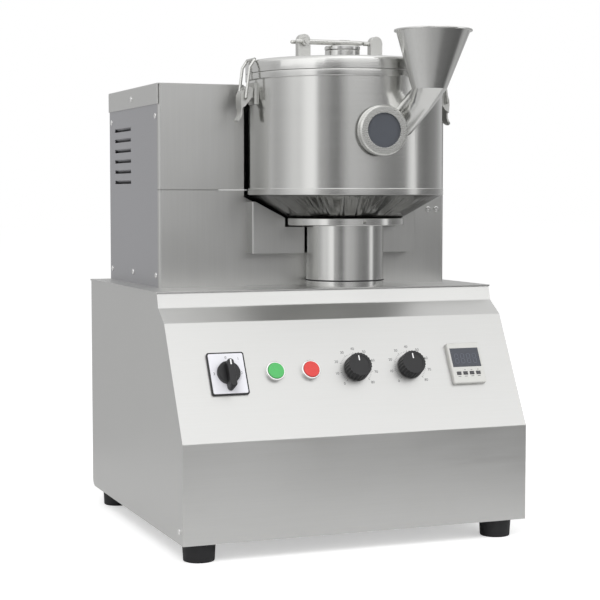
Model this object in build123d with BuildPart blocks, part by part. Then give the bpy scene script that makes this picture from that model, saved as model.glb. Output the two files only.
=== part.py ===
from build123d import *
import os
from math import acos, atan2, cos, degrees, hypot, radians, sin

os.makedirs("parts", exist_ok=True)

# Bench rapid mixer granulator, sizes in millimetres.
# X runs to the right, Y to the back and Z up. The sizes below are measured from the middle of the cabinet;
# each finished piece then moves to the frame, whose origin is on the floor under the middle of the whole machine.

# Cabinet
width = 480
depth = 457
sheet = 1.5
foot_height = 25
foot_radius = 21.5
foot_inset = 30
front_top = 152
slope_top = 296
slope_setback = 77
fascia_foot = 314
fascia_setback = 104
fascia_lean = 5
bend_radius = 4
top_height = 334.5
plate_thickness = 2
plate_overhang = 1.5
rear_corner = 12

# Tower
tower_left = -210
tower_right = 216
tower_front = -27
tower_drop = 4
seam_rise = 7
seam_gap = 0.6
tower_corner = 5
cover_drop = 28
recess_gap = 2.5
louvre_count = 6
louvre_pitch = 15
louvre_length = 88
louvre_height = 5
louvre_rise = 11.5
louvre_middle = 155
back_louvre_rise = 95.5

# Bowl and its stand, stacked up from the top of the cabinet
bowl_x = 45
bowl_y = -65
pedestal_radius = 53.5
pedestal_wall = 3.5
ring_height = 7.7
seal_thickness = 1.5
pedestal_height = 74.3
neck_height = 10
neck_radius = 81.5
cone_foot_radius = 78
cone_height = 31
cone_wall = 3.5
flange_ledge = 2
flange_height = 9
floor_rise = 5
floor_thickness = 7
bowl_radius = 133
bowl_wall_thickness = 2
wall_height = 154
rim_height = 9
rim_ledge = 3.5

# Running gear
running_fit = 0.05
part_gap = 0.3
shaft_radius = 12.5
spigot_radius = 9
bearing_radius = 26
bearing_height = 15
spindle_radius = 38
spindle_length = 117.5
spindle_flange_radius = 50
spindle_flange = 9
seal_radius = 20
driven_pulley_radius = 50
motor_pulley_radius = 32
pulley_drop = 34
pulley_height = 22
belt_width = 14
belt_thickness = 8
groove_depth = 8
motor_x = -120
motor_y = 70
motor_radius = 64
motor_drop = 9
motor_shaft_radius = 9.5

# Impeller and chopper
impeller_gap = 1.2
blade_clearance = 7
impeller_hub_radius = 25
impeller_hub_height = 23
blade_count = 3
blade_root_width = 40
blade_tip_width = 26
blade_root_pitch = 28
blade_tip_pitch = 18
blade_thickness = 4
cap_height = 16
chopper_rise = 56
chopper_shaft_radius = 7
chopper_housing_radius = 17
chopper_sweep = 29
chopper_blade_thickness = 3
chopper_motor_radius = 38

# Lid
lid_height = 17
lid_plate = 3
lid_skirt_width = 8
lid_edge_round = 5
gasket_height = 5
port_offset = -4
port_bore = 20
port_radius = 23.8
port_height = 17
cap_thickness = 5
cap_radius = 24.3
left_lug_offset = -61.7
right_lug_offset = 44.6
lug_width = 17.5
lug_depth = 12
lug_rise = 9.9
bail_rise = 4.9
bail_rod_radius = 2.6
bail_gap = 1
bail_heel = 12
bail_reach = 19
stop_pin_length = 17.1
bail_pin_radius = 3

# Sight glass
sight_turn = -4
sight_rise = 83
sight_neck_radius = 24
sight_neck_wall = 3
sight_ring_radius = 32.5
sight_window_radius = 22.4
sight_glass_lap = 4.6
sight_glass_thickness = 5
sight_flange_thickness = 5
sight_ring_thickness = 8
sight_neck_length = 12

# Feed
feed_turn = 13.6
feed_wall = 1.5
feed_tube_radius = 18.2
feed_entry_drop = 54.3
funnel_foot_out = 48.4
funnel_foot_drop = 18.6
funnel_foot_radius = 22.4
funnel_top_out = 55.5
funnel_height = 74.6
funnel_top_radius = 48
lip_width = 2
lip_height = 2.4
throat_length = 20

# Latches: distances out from the bowl wall, and down or up from the foot of the rim
latch_pivot_reach = 10
latch_pivot_drop = 15
loop_pivot_reach = 16
loop_pivot_drop = 25
loop_knee_reach = 10.5
loop_knee_rise = 16
wire_radius = 2
loop_half_width = 15
latch_pin_radius = 2.5
ear_half_gap = 4
ear_thickness = 3
ear_radius = 6
lever_half_width = 11
lever_sheet = 2.2
lever_tip_drop = 56
latch_plate_drop = 33
latch_plate_height = 29
latch_plate_width = 24
latch_plate_thickness = 3

# Screws in the covers, as distances from the edges of the sheets
screw_head_radius = 4
screw_head_height = 1.4
screw_shank_radius = 2
screw_length = 8
side_screw_inset = 12.8
side_screw_rise = 16
side_screw_drop = 43.8
cover_screw_drop = 15.6
middle_screw_y = 102
cabinet_screw_inset = 13.5
cabinet_screw_rise = 16.7
front_screw_inset = 12.6
front_screw_pitch = 12.7
front_screw_drop = 27

# Control panel, measured across and up the slope
control_row = 91
switch_x = -167
switch_width = 50
switch_height = 58
switch_knob_radius = 15
start_x = -103
stop_x = -54
button_barrel_radius = 11
button_bezel_width = 2
button_stem_radius = 8.8
mixing_knob_x = 10.6
chopping_knob_x = 88
knob_radius = 17.3
knob_grip_radius = 12.5
knob_height = 16
timer_x = 169.6
timer_width = 48
timer_height = 58
timer_border = 2
key_count = 4
key_pitch = 9.6
key_drop = 15
key_width = 6
key_height = 4.2

# Cradle
cradle_depth = 25
cradle_left_reach = 130
cradle_right_reach = 112.5
cradle_drop = 38.5
cradle_gap = 9

# Values that follow
half_width = width / 2
front_y = -depth / 2
back_y = depth / 2
plate_low = top_height - plate_thickness
slope_top_y = front_y + slope_setback
fascia_foot_y = front_y + fascia_setback
fascia_top_y = fascia_foot_y + fascia_lean
plate_front_y = fascia_top_y - plate_overhang
seal_low = top_height + ring_height
pedestal_low = seal_low + seal_thickness
neck_low = pedestal_low + pedestal_height
cone_low = neck_low + neck_height
cone_top = cone_low + cone_height
floor_height = cone_top + floor_rise
rim_low = cone_top + wall_height
rim_top = rim_low + rim_height
flange_radius = bowl_radius + flange_ledge
rim_radius = bowl_radius + rim_ledge
tower_seam = cone_top + seam_rise
tower_top = rim_low - tower_drop
louvre_low = tower_seam + louvre_rise
spindle_low = plate_low - spindle_length
pulley_low = spindle_low - pulley_drop
motor_top = pulley_low - motor_drop
bowl_bore = bowl_radius - bowl_wall_thickness
impeller_reach = bowl_bore - blade_clearance
chopper_height = floor_height + chopper_rise
lid_low = rim_top + part_gap
lid_top = lid_low + lid_height
recess_radius = rim_radius + recess_gap
port_x = bowl_x + port_offset
left_lug_x = bowl_x + left_lug_offset
right_lug_x = bowl_x + right_lug_offset
collar_top = lid_top + port_height
cap_low = collar_top + part_gap
cap_top = cap_low + cap_thickness
bail_height = cap_top + bail_rise
lug_top = bail_height + lug_rise
sight_height = cone_top + sight_rise
sight_glass_radius = sight_window_radius + sight_glass_lap
feed_entry_height = rim_low - feed_entry_drop
funnel_foot_height = rim_low - funnel_foot_drop
funnel_top_height = funnel_foot_height + funnel_height
lip_radius = funnel_top_radius + lip_width
latch_pivot_out = bowl_radius + latch_pivot_reach
latch_pivot_height = rim_low - latch_pivot_drop
loop_pivot_out = bowl_radius + loop_pivot_reach
loop_pivot_height = rim_low - loop_pivot_drop
loop_knee_out = bowl_radius + loop_knee_reach
loop_knee_height = rim_low + loop_knee_rise
lever_tip_height = rim_low - lever_tip_drop
latch_plate_low = rim_low - latch_plate_drop
latch_plate_high = latch_plate_low + latch_plate_height
button_radius = button_barrel_radius - part_gap
button_bezel_radius = button_barrel_radius + button_bezel_width
timer_body = timer_width - 2 * timer_border
key_row = control_row - key_drop
cradle_front = tower_front - cradle_depth
cradle_left = bowl_x - cradle_left_reach
cradle_right = bowl_x + cradle_right_reach
cradle_low = neck_low - cradle_drop
cradle_high = cone_top - cradle_gap
side_screw_back = back_y - side_screw_inset
side_screw_front = tower_front + side_screw_inset
side_screw_low = top_height + side_screw_rise
side_screw_high = tower_top - side_screw_drop
cover_screws = [(middle_screw_y, tower_top - cover_screw_drop)]
side_screws = [
    (side_screw_back, side_screw_high),
    (side_screw_front, side_screw_high),
    (side_screw_back, side_screw_low),
    (middle_screw_y, side_screw_low),
    (side_screw_front, side_screw_low),
]
cabinet_screws = [(front_y + cabinet_screw_inset, foot_height + cabinet_screw_rise)]
front_screw_height = tower_seam - front_screw_drop
front_screws = [
    (tower_right - front_screw_inset - front_screw_pitch, front_screw_height),
    (tower_right - front_screw_inset, front_screw_height),
]
bowl_axis = Axis((bowl_x, bowl_y, 0), (0, 0, 1))
bowl_side = Plane(origin=(bowl_x, bowl_y, 0), x_dir=(1, 0, 0), z_dir=(0, -1, 0))
motor_axis = Axis((motor_x, motor_y, 0), (0, 0, 1))
motor_side = Plane(origin=(motor_x, motor_y, 0), x_dir=(1, 0, 0), z_dir=(0, -1, 0))
chopper_side = Plane(origin=(bowl_x, 0, chopper_height), x_dir=(1, 0, 0), z_dir=(0, 0, 1))
chopper_axis = Axis((bowl_x, 0, chopper_height), (0, 1, 0))
slope_lean = degrees(atan2(slope_setback, slope_top - front_top))
panel_normal = (0, -cos(radians(slope_lean)), sin(radians(slope_lean)))
panel_up = (0, sin(radians(slope_lean)), cos(radians(slope_lean)))
lip_front = bowl_y - (bowl_radius + funnel_top_out) * cos(radians(feed_turn)) - lip_radius
frame_shift = Location((0, -(lip_front + back_y) / 2, 0))


def turned(outline, side=bowl_side, axis=bowl_axis):
    """A turned piece: its half section is a closed outline of distances out and along the axis."""
    with BuildPart() as piece:
        with BuildSketch(side):
            with BuildLine():
                Polyline(*outline, close=True)
            make_face()
        revolve(axis=axis)
    return piece


def round_bar(outer, inner, low, high):
    """The half section of a plain tube or ring."""
    return [(inner, low), (outer, low), (outer, high), (inner, high)]


def outward(turn, out, height, x_dir=None):
    """A plane that looks out of the bowl at an angle right of the front."""
    direction = (sin(radians(turn)), -cos(radians(turn)), 0)
    origin = (bowl_x + out * direction[0], bowl_y + out * direction[1], height)
    return Plane(origin=origin, x_dir=x_dir or (cos(radians(turn)), sin(radians(turn)), 0), z_dir=direction)


def on_panel(x, up, out=0):
    """A plane on the control panel, facing out of it."""
    origin = (
        x,
        front_y + up * panel_up[1] + out * panel_normal[1],
        front_top + up * panel_up[2] + out * panel_normal[2],
    )
    return Plane(origin=origin, x_dir=(1, 0, 0), z_dir=panel_normal)


def latch_plane(side):
    """The upright plane through the bowl axis and a latch: x points out of the bowl, y up."""
    return Plane(origin=(bowl_x, bowl_y, 0), x_dir=(side, 0, 0), z_dir=(0, -side, 0))


def keep(name, piece):
    """Move a finished piece to the frame, label it and write it."""
    placed = piece.part.moved(frame_shift)
    placed.label = name
    export_step(placed, f"parts/{name}.step")


# Cabinet shell: one bent front sheet between two side sheets, open below, behind and on top
front_path = [
    (front_y, foot_height),
    (front_y, front_top),
    (slope_top_y, slope_top),
    (fascia_foot_y, fascia_foot),
    (fascia_top_y, plate_low),
]
with BuildPart() as cabinet_shell:
    with BuildSketch(Plane.YZ.offset(-half_width)):
        with BuildLine():
            FilletPolyline(*front_path, radius=bend_radius)
            offset(amount=sheet, side=Side.RIGHT)
        make_face()
    extrude(amount=width)
    with BuildSketch(Plane.YZ.offset(-half_width)) as side_outline:
        with BuildLine():
            front_edge = FilletPolyline(*front_path, radius=bend_radius)
            Polyline(
                front_edge @ 1,
                (back_y, plate_low),
                (back_y, foot_height),
                front_edge @ 0,
            )
        make_face()
        rear_low = side_outline.vertices().sort_by(Axis.X)[-2:].sort_by(Axis.Y)[0]
        fillet(rear_low, radius=rear_corner)
    extrude(amount=sheet)
    extrude(side_outline.sketch.moved(Location((width - sheet, 0, 0))), amount=sheet)
    with BuildSketch(on_panel(0, control_row, 1)):
        with Locations((switch_x, 0)):
            Circle(switch_knob_radius)
        with Locations((start_x, 0), (stop_x, 0)):
            Circle(button_barrel_radius + part_gap)
        with Locations((mixing_knob_x, 0), (chopping_knob_x, 0)):
            Circle(5)
        with Locations((timer_x, 0)):
            Rectangle(timer_body + part_gap, timer_body + part_gap)
    extrude(amount=-4 * sheet, mode=Mode.SUBTRACT)
    with BuildSketch(Plane.YZ.offset(-half_width)):
        with Locations(*cabinet_screws):
            Circle(screw_shank_radius)
    extrude(amount=sheet, mode=Mode.SUBTRACT)
keep("cabinet_shell", cabinet_shell)

# Base pan, rear panel and top plate close the shell
pan_width = width - 2 * sheet
with BuildPart() as base_pan:
    with BuildSketch(Plane.XY.offset(foot_height)):
        with Locations((0, (sheet - rear_corner) / 2)):
            Rectangle(pan_width, depth - sheet - rear_corner)
        with GridLocations(width - 2 * foot_inset, depth - 2 * foot_inset, 2, 2):
            Circle(4.2, mode=Mode.SUBTRACT)
    extrude(amount=sheet)
keep("base_pan", base_pan)

gland_x = 150
gland_height = 90
gland_radius = 8
with BuildPart() as rear_panel:
    with BuildSketch(Plane.XZ.offset(-back_y)):
        with Locations((0, (plate_low + foot_height + rear_corner) / 2)):
            Rectangle(pan_width, plate_low - foot_height - rear_corner)
        with Locations((gland_x, gland_height)):
            Circle(gland_radius, mode=Mode.SUBTRACT)
        with Locations((-110, 200)):
            with GridLocations(0, 14, 1, 6):
                SlotOverall(90, 5, mode=Mode.SUBTRACT)
    extrude(amount=sheet)
keep("rear_panel", rear_panel)

with BuildPart() as top_plate:
    with BuildSketch(Plane.XY.offset(plate_low)):
        with Locations((0, (plate_front_y + back_y) / 2)):
            Rectangle(width + 2 * plate_overhang, back_y - plate_front_y)
        with Locations((bowl_x, bowl_y)):
            Circle(spindle_radius - 2, mode=Mode.SUBTRACT)
        with Locations((-40, 150)):
            RectangleRounded(160, 80, 10, mode=Mode.SUBTRACT)
    extrude(amount=plate_thickness)
    fillet(top_plate.edges().filter_by(Axis.Z).group_by(Axis.Y)[0], radius=2)
keep("top_plate", top_plate)

# Feet: turned rubber with a washer recess, and the bolts that hold them
foot_places = GridLocations(width - 2 * foot_inset, depth - 2 * foot_inset, 2, 2)
with BuildPart() as feet:
    with foot_places:
        Cone(foot_radius - 1.5, foot_radius, foot_height, align=(Align.CENTER, Align.CENTER, Align.MIN))
        Cylinder(9, 8, align=(Align.CENTER, Align.CENTER, Align.MIN), mode=Mode.SUBTRACT)
        Cylinder(4, foot_height, align=(Align.CENTER, Align.CENTER, Align.MIN), mode=Mode.SUBTRACT)
    fillet(feet.edges().filter_by(GeomType.CIRCLE).group_by(Axis.Z)[0].group_by(SortBy.RADIUS)[-1], radius=1.5)
keep("feet", feet)

with BuildPart() as foot_bolts:
    with BuildSketch(Plane.XY.offset(3)):
        with foot_places:
            RegularPolygon(7.5, 6)
    extrude(amount=5)
    with BuildSketch(Plane.XY.offset(8)):
        with foot_places:
            Circle(4)
    extrude(amount=foot_height - 8 + 10)
keep("foot_bolts", foot_bolts)

# Clearance round everything that stands on the bowl axis, cut from the tower and the cradle
clear_neck = neck_radius + recess_gap
clear_outline = [
    (0, top_height - 1),
    (pedestal_radius + recess_gap, top_height - 1),
    (pedestal_radius + recess_gap, neck_low - recess_gap),
    (clear_neck, neck_low - recess_gap),
    (clear_neck, cone_low),
    (recess_radius, cone_top - recess_gap),
    (recess_radius, tower_top + 1),
    (0, tower_top + 1),
]
wall_outline = [
    (0, top_height - 1),
    (pedestal_radius + recess_gap + sheet, top_height - 1),
    (pedestal_radius + recess_gap + sheet, neck_low - recess_gap - sheet),
    (clear_neck + sheet, neck_low - recess_gap - sheet),
    (clear_neck + sheet, cone_low - sheet / 2),
    (recess_radius + sheet, cone_top - recess_gap - sheet / 2),
    (recess_radius + sheet, tower_top + 1),
    (0, tower_top + 1),
]
bowl_room = turned(clear_outline).part
bowl_room_wall = turned(wall_outline).part
tower_width = tower_right - tower_left
tower_middle = (tower_left + tower_right) / 2
tower_depth = back_y - tower_front


def tower_wrap(low, high):
    """Front and right side of the tower as one bent sheet with the round recess for the bowl."""
    with BuildPart() as inside:
        with BuildSketch(Plane.XY.offset(low - 1)) as hollow:
            with Locations((tower_middle, (tower_front + back_y) / 2)):
                Rectangle(tower_width - 2 * sheet, tower_depth - 2 * sheet)
            fillet(hollow.vertices().group_by(Axis.Y)[0], radius=tower_corner - sheet)
            with Locations((tower_middle - 40, back_y)):
                Rectangle(tower_width + 80 - 2 * sheet, 4 * sheet)
            with Locations((tower_left, (back_y + tower_front) / 2 + tower_corner)):
                Rectangle(4 * sheet, tower_depth)
        extrude(amount=high - low + 2)
        add(bowl_room_wall, mode=Mode.SUBTRACT)
    with BuildPart() as wrap:
        with BuildSketch(Plane.XY.offset(low)) as outline:
            with Locations((tower_middle, (tower_front + back_y) / 2)):
                Rectangle(tower_width, tower_depth)
            fillet(outline.vertices().group_by(Axis.Y)[0], radius=tower_corner)
        extrude(amount=high - low)
        add(bowl_room, mode=Mode.SUBTRACT)
        add(inside.part, mode=Mode.SUBTRACT)
        with BuildSketch(Plane.XZ.offset(-tower_front)):
            with Locations(*front_screws):
                Circle(screw_shank_radius)
        extrude(amount=-sheet, mode=Mode.SUBTRACT)
    return wrap


chopper_port = chopper_housing_radius + recess_gap
with BuildPart() as tower_upper_shell:
    add(tower_wrap(tower_seam + seam_gap / 2, tower_top - sheet).part)
    with BuildSketch(Plane.XZ.offset(-back_y / 2)):
        with Locations((bowl_x, chopper_height)):
            Circle(chopper_port)
    extrude(amount=back_y / 2, mode=Mode.SUBTRACT)
keep("tower_upper_shell", tower_upper_shell)

with BuildPart() as tower_lower_shell:
    add(tower_wrap(top_height, tower_seam - seam_gap / 2).part)
keep("tower_lower_shell", tower_lower_shell)

# Left side panel with pressed louvres, cover on top and panel behind
side_low = top_height
side_high = tower_top - cover_drop + 8
with BuildPart() as tower_side_panel:
    with BuildSketch(Plane.YZ.offset(tower_left)):
        with Locations(((tower_front + tower_corner + back_y) / 2, (side_low + side_high) / 2)):
            Rectangle(back_y - tower_front - tower_corner, side_high - side_low)
        with Locations((louvre_middle, louvre_low + louvre_pitch * (louvre_count - 1) / 2)):
            with GridLocations(0, louvre_pitch, 1, louvre_count):
                Rectangle(louvre_length, louvre_height, mode=Mode.SUBTRACT)
        with Locations(*side_screws):
            Circle(screw_shank_radius, mode=Mode.SUBTRACT)
    extrude(amount=sheet)
    for number in range(louvre_count):
        louvre_z = louvre_low + number * louvre_pitch
        with BuildSketch(Plane.XZ.offset(-louvre_middle)):
            with BuildLine():
                Polyline(
                    (tower_left + sheet, louvre_z + louvre_height / 2 + 1),
                    (tower_left + sheet, louvre_z + louvre_height / 2),
                    (tower_left + sheet + 5, louvre_z - louvre_height / 2),
                    (tower_left + sheet + 5, louvre_z - louvre_height / 2 + 1),
                    close=True,
                )
            make_face()
        extrude(amount=louvre_length / 2, both=True)
keep("tower_side_panel", tower_side_panel)

with BuildPart() as tower_top_cover:
    with BuildSketch(Plane.XZ.offset(-back_y)):
        with Locations((tower_middle, tower_top - cover_drop / 2)):
            Rectangle(tower_width + 2 * sheet, cover_drop)
        with Locations((tower_middle, tower_top - cover_drop / 2 - sheet)):
            Rectangle(tower_width, cover_drop, mode=Mode.SUBTRACT)
    extrude(amount=tower_depth)
    fillet(tower_top_cover.edges().filter_by(Axis.Y).group_by(Axis.Z)[-1], radius=sheet)
    add(bowl_room, mode=Mode.SUBTRACT)
    with BuildSketch(Plane.YZ.offset(tower_left - sheet)):
        with Locations(*cover_screws):
            Circle(screw_shank_radius)
    extrude(amount=sheet, mode=Mode.SUBTRACT)
keep("tower_top_cover", tower_top_cover)

with BuildPart() as tower_back_panel:
    with BuildSketch(Plane.XZ.offset(-back_y)):
        with Locations((tower_middle, (side_low + tower_top - sheet) / 2)):
            Rectangle(tower_width - 2 * sheet, tower_top - sheet - side_low)
        with Locations((tower_middle, side_low + back_louvre_rise)):
            with GridLocations(0, louvre_pitch, 1, louvre_count):
                SlotOverall(louvre_length, louvre_height, mode=Mode.SUBTRACT)
    extrude(amount=sheet)
keep("tower_back_panel", tower_back_panel)

# Two cheeks fixed to the tower steady the neck of the bowl
for side, name in ((-1, "cradle_cheek_left"), (1, "cradle_cheek_right")):
    cheek_edge = cradle_left if side < 0 else cradle_right
    with BuildPart() as cheek:
        with BuildSketch(Plane.XY.offset(cradle_low)):
            with Locations(((cheek_edge + bowl_x) / 2, (cradle_front + tower_front) / 2)):
                Rectangle(abs(cheek_edge - bowl_x), tower_front - cradle_front)
        extrude(amount=cradle_high - cradle_low)
        add(bowl_room, mode=Mode.SUBTRACT)
        corner = cheek.edges().filter_by(Axis.Z).group_by(Axis.Y)[0].sort_by(Axis.X)[min(side, 0) * -1 - 1]
        chamfer(corner, length=1)
    keep(name, cheek)


def screws(plane, places):
    """Low pan heads on a sheet with their shanks through it."""
    with BuildPart() as group:
        with BuildSketch(plane):
            with Locations(*places):
                Circle(screw_head_radius)
        extrude(amount=screw_head_height)
        crowns = group.edges().filter_by(GeomType.CIRCLE)
        chamfer([edge for edge in crowns if plane.to_local_coords(edge.center()).Z > 0.5], length=0.7)
        with BuildSketch(plane.offset(screw_head_height)):
            with Locations(*places):
                Rectangle(3.6, 0.9)
                Rectangle(0.9, 3.6)
        extrude(amount=-0.7, mode=Mode.SUBTRACT)
        with BuildSketch(plane):
            with Locations(*places):
                Circle(screw_shank_radius)
        extrude(amount=-screw_length)
    return group.part


def mirrored(places):
    """The same places seen from the other side of the sheet."""
    return [(-across, up) for across, up in places]


facing_left = Plane(origin=(0, 0, 0), x_dir=(0, -1, 0), z_dir=(-1, 0, 0))
with BuildPart() as panel_screws:
    add(screws(facing_left.offset(-tower_left), mirrored(side_screws)))
    add(screws(facing_left.offset(sheet - tower_left), mirrored(cover_screws)))
    add(screws(facing_left.offset(half_width), mirrored(cabinet_screws)))
    add(screws(Plane.XZ.offset(-tower_front), front_screws))
keep("panel_screws", panel_screws)

# Pedestal with its foot ring, the seal in its groove and the neck flange on top
groove_depth_seal = 2
pedestal_bore = pedestal_radius - pedestal_wall
pedestal = turned([
    (pedestal_bore - 8, top_height),
    (pedestal_radius, top_height),
    (pedestal_radius, seal_low),
    (pedestal_radius - groove_depth_seal, seal_low),
    (pedestal_radius - groove_depth_seal, pedestal_low),
    (pedestal_radius, pedestal_low),
    (pedestal_radius, neck_low),
    (pedestal_bore - 14, neck_low),
    (pedestal_bore - 14, neck_low - 6),
    (pedestal_bore, neck_low - 6),
    (pedestal_bore, seal_low),
    (pedestal_bore - 8, seal_low),
])
keep("pedestal", pedestal)

seal_ring = round_bar(pedestal_radius + 0.6, pedestal_radius - groove_depth_seal, seal_low, pedestal_low)
pedestal_seal = turned(seal_ring)
keep("pedestal_seal", pedestal_seal)

with BuildPart() as neck_flange:
    add(turned(round_bar(neck_radius, seal_radius + 10, neck_low, cone_low)).part)
    rims = neck_flange.edges().filter_by(GeomType.CIRCLE).group_by(SortBy.RADIUS)[-1]
    chamfer(rims, length=0.8)
    with BuildSketch(outward(sight_turn, neck_radius, neck_low + neck_height / 2)):
        Circle(2.5)
    extrude(amount=-12, mode=Mode.SUBTRACT)
keep("neck_flange", neck_flange)

# Bowl base: flat floor, cone and the flange that carries the wall
hub_radius = 30
with BuildPart() as bowl_base:
    add(turned([
        (seal_radius, cone_low + 10),
        (hub_radius, cone_low + 10),
        (hub_radius, floor_height - floor_thickness),
        (flange_radius - 11, floor_height - floor_thickness),
        (cone_foot_radius - cone_wall - 2, cone_low),
        (cone_foot_radius, cone_low),
        (flange_radius - 2.5, cone_top),
        (flange_radius, cone_top),
        (flange_radius, cone_top + flange_height),
        (bowl_radius, cone_top + flange_height),
        (bowl_radius, floor_height),
        (seal_radius, floor_height),
    ]).part)
    widest = bowl_base.edges().filter_by(GeomType.CIRCLE).group_by(SortBy.RADIUS)[-1]
    fillet(widest, radius=0.8)
keep("bowl_base", bowl_base)

# Sight glass and feed are laid out first, because their openings cut the bowl wall
sight_flange_out = bowl_radius + sight_neck_length - 1
sight_ring_out = sight_flange_out + sight_flange_thickness
sight_bore = sight_neck_radius - sight_neck_wall


def feed_point(out, height):
    """A point in the upright plane of the feed."""
    turn = radians(feed_turn)
    return (bowl_x + out * sin(turn), bowl_y - out * cos(turn), height)


funnel_foot = feed_point(bowl_radius + funnel_foot_out, funnel_foot_height)
funnel_top = feed_point(bowl_radius + funnel_top_out, funnel_top_height)
feed_entry = feed_point(bowl_radius, feed_entry_height)
feed_across = (cos(radians(feed_turn)), sin(radians(feed_turn)), 0)
feed_direction = Vector(*feed_entry) - Vector(*funnel_foot)
feed_length = feed_direction.length
feed_plane = Plane(origin=funnel_foot, x_dir=feed_across, z_dir=feed_direction)

with BuildPart() as bowl_wall:
    add(turned([
        (bowl_bore, floor_height),
        (bowl_radius, floor_height),
        (bowl_radius, rim_low),
        (rim_radius, rim_low),
        (rim_radius, rim_top),
        (bowl_bore, rim_top),
    ]).part)
    rims = bowl_wall.edges().filter_by(GeomType.CIRCLE).group_by(SortBy.RADIUS)[-1]
    fillet(rims, radius=1)
    with BuildSketch(outward(sight_turn, bowl_bore + 0.5, sight_height)):
        Circle(sight_neck_radius)
    extrude(amount=sight_flange_out - bowl_bore - 0.5)
    with BuildSketch(outward(sight_turn, sight_flange_out, sight_height)):
        Circle(sight_ring_radius)
    extrude(amount=sight_flange_thickness)
    with BuildSketch(outward(sight_turn, bowl_bore - 20, sight_height)):
        Circle(sight_bore)
    extrude(amount=sight_ring_out - bowl_bore + 20, mode=Mode.SUBTRACT)
    with BuildSketch(feed_plane.offset(feed_length - 40)):
        Circle(feed_tube_radius - feed_wall)
    extrude(amount=90, mode=Mode.SUBTRACT)
    with BuildSketch(Plane.XZ.offset(-bowl_y)):
        with Locations((bowl_x, chopper_height)):
            Circle(chopper_housing_radius)
    extrude(amount=-2 * bowl_radius, mode=Mode.SUBTRACT)
keep("bowl_wall", bowl_wall)

# Chopper housing, shaft, blades and motor lie along Y behind the bowl
housing_front = bowl_y + bowl_radius - 8
housing_back = housing_front + 37
blade_back = housing_front - 4
motor_back = housing_back + 103
chopper_bore = chopper_shaft_radius + running_fit
with BuildPart() as chopper_housing:
    add(turned([
        (chopper_bore, housing_front),
        (chopper_housing_radius - 3, housing_front),
        (chopper_housing_radius, housing_front + 3),
        (chopper_housing_radius, housing_back - 12),
        (chopper_motor_radius - 6, housing_back - 6),
        (chopper_motor_radius - 6, housing_back),
        (chopper_bore, housing_back),
    ], chopper_side, chopper_axis).part)
keep("chopper_housing", chopper_housing)

with BuildPart() as chopper_motor:
    add(turned([
        (chopper_bore, housing_back),
        (chopper_motor_radius, housing_back),
        (chopper_motor_radius, housing_back + 10),
        (chopper_motor_radius - 2, housing_back + 12),
        (chopper_motor_radius - 2, motor_back - 12),
        (chopper_motor_radius, motor_back - 10),
        (chopper_motor_radius, motor_back),
        (0, motor_back),
        (0, housing_back + 50),
        (chopper_bore, housing_back + 50),
    ], chopper_side, chopper_axis).part)
    with BuildSketch(Plane.XZ.offset(-motor_back)):
        with Locations((bowl_x, chopper_height)):
            Rectangle(60, 40)
    extrude(amount=-(back_y - sheet - motor_back))
keep("chopper_motor", chopper_motor)

with BuildPart() as chopper_shaft:
    add(turned([
        (0, blade_back - 18),
        (chopper_shaft_radius - 3, blade_back - 18),
        (chopper_shaft_radius - 3, blade_back),
        (chopper_shaft_radius, blade_back),
        (chopper_shaft_radius, housing_back + 49),
        (0, housing_back + 49),
    ], chopper_side, chopper_axis).part)
keep("chopper_shaft", chopper_shaft)

with BuildPart() as chopper_blades:
    add(turned([
        (chopper_shaft_radius - 3, blade_back - 12),
        (10, blade_back - 12),
        (10, blade_back),
        (chopper_shaft_radius - 3, blade_back),
    ], chopper_side, chopper_axis).part)
    add(turned([
        (chopper_shaft_radius - 3, blade_back - 18),
        (7, blade_back - 18),
        (9, blade_back - 16),
        (9, blade_back - 12),
        (chopper_shaft_radius - 3, blade_back - 12),
    ], chopper_side, chopper_axis).part)
    for number, back in enumerate((blade_back - 1, blade_back - 7)):
        with BuildSketch(Plane.XZ.offset(-back)):
            with Locations(Location((bowl_x, chopper_height, 0), (0, 0, 90 * number + 20))):
                Polygon(
                    (-chopper_sweep, 1),
                    (-chopper_sweep + 5, 6),
                    (chopper_sweep - 2, 6),
                    (chopper_sweep, -1),
                    (chopper_sweep - 5, -6),
                    (-chopper_sweep + 2, -6),
                    align=None,
                )
        extrude(amount=chopper_blade_thickness)
    with BuildSketch(Plane.XZ.offset(-blade_back)):
        with Locations((bowl_x, chopper_height)):
            Circle(chopper_shaft_radius - 3)
    extrude(amount=18, mode=Mode.SUBTRACT)
keep("chopper_blades", chopper_blades)

# Drive of the impeller: motor, pulleys and belt
shaft_bore = shaft_radius + running_fit
pulley_top = pulley_low + pulley_height
belt_middle = pulley_low + pulley_height / 2
belt_room = belt_width / 2 + part_gap


def pulley(outer, bore, side, axis, extra):
    """A flanged pulley with a flat groove, closed by any extra points near its bore."""
    return turned(
        extra + [
            (outer, pulley_low),
            (outer, belt_middle - belt_room),
            (outer - groove_depth, belt_middle - belt_room),
            (outer - groove_depth, belt_middle + belt_room),
            (outer, belt_middle + belt_room),
            (outer, pulley_top),
            (bore, pulley_top),
        ],
        side,
        axis,
    )


driven_pulley = pulley(driven_pulley_radius, shaft_radius, bowl_side, bowl_axis, [(shaft_radius, pulley_low)])
keep("driven_pulley", driven_pulley)

motor_shaft_low = motor_top - 30
motor_shaft = [(0, motor_shaft_low), (motor_shaft_radius, motor_shaft_low), (motor_shaft_radius, pulley_low)]
motor_pulley = pulley(motor_pulley_radius, 0, motor_side, motor_axis, motor_shaft)
keep("motor_pulley", motor_pulley)


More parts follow.
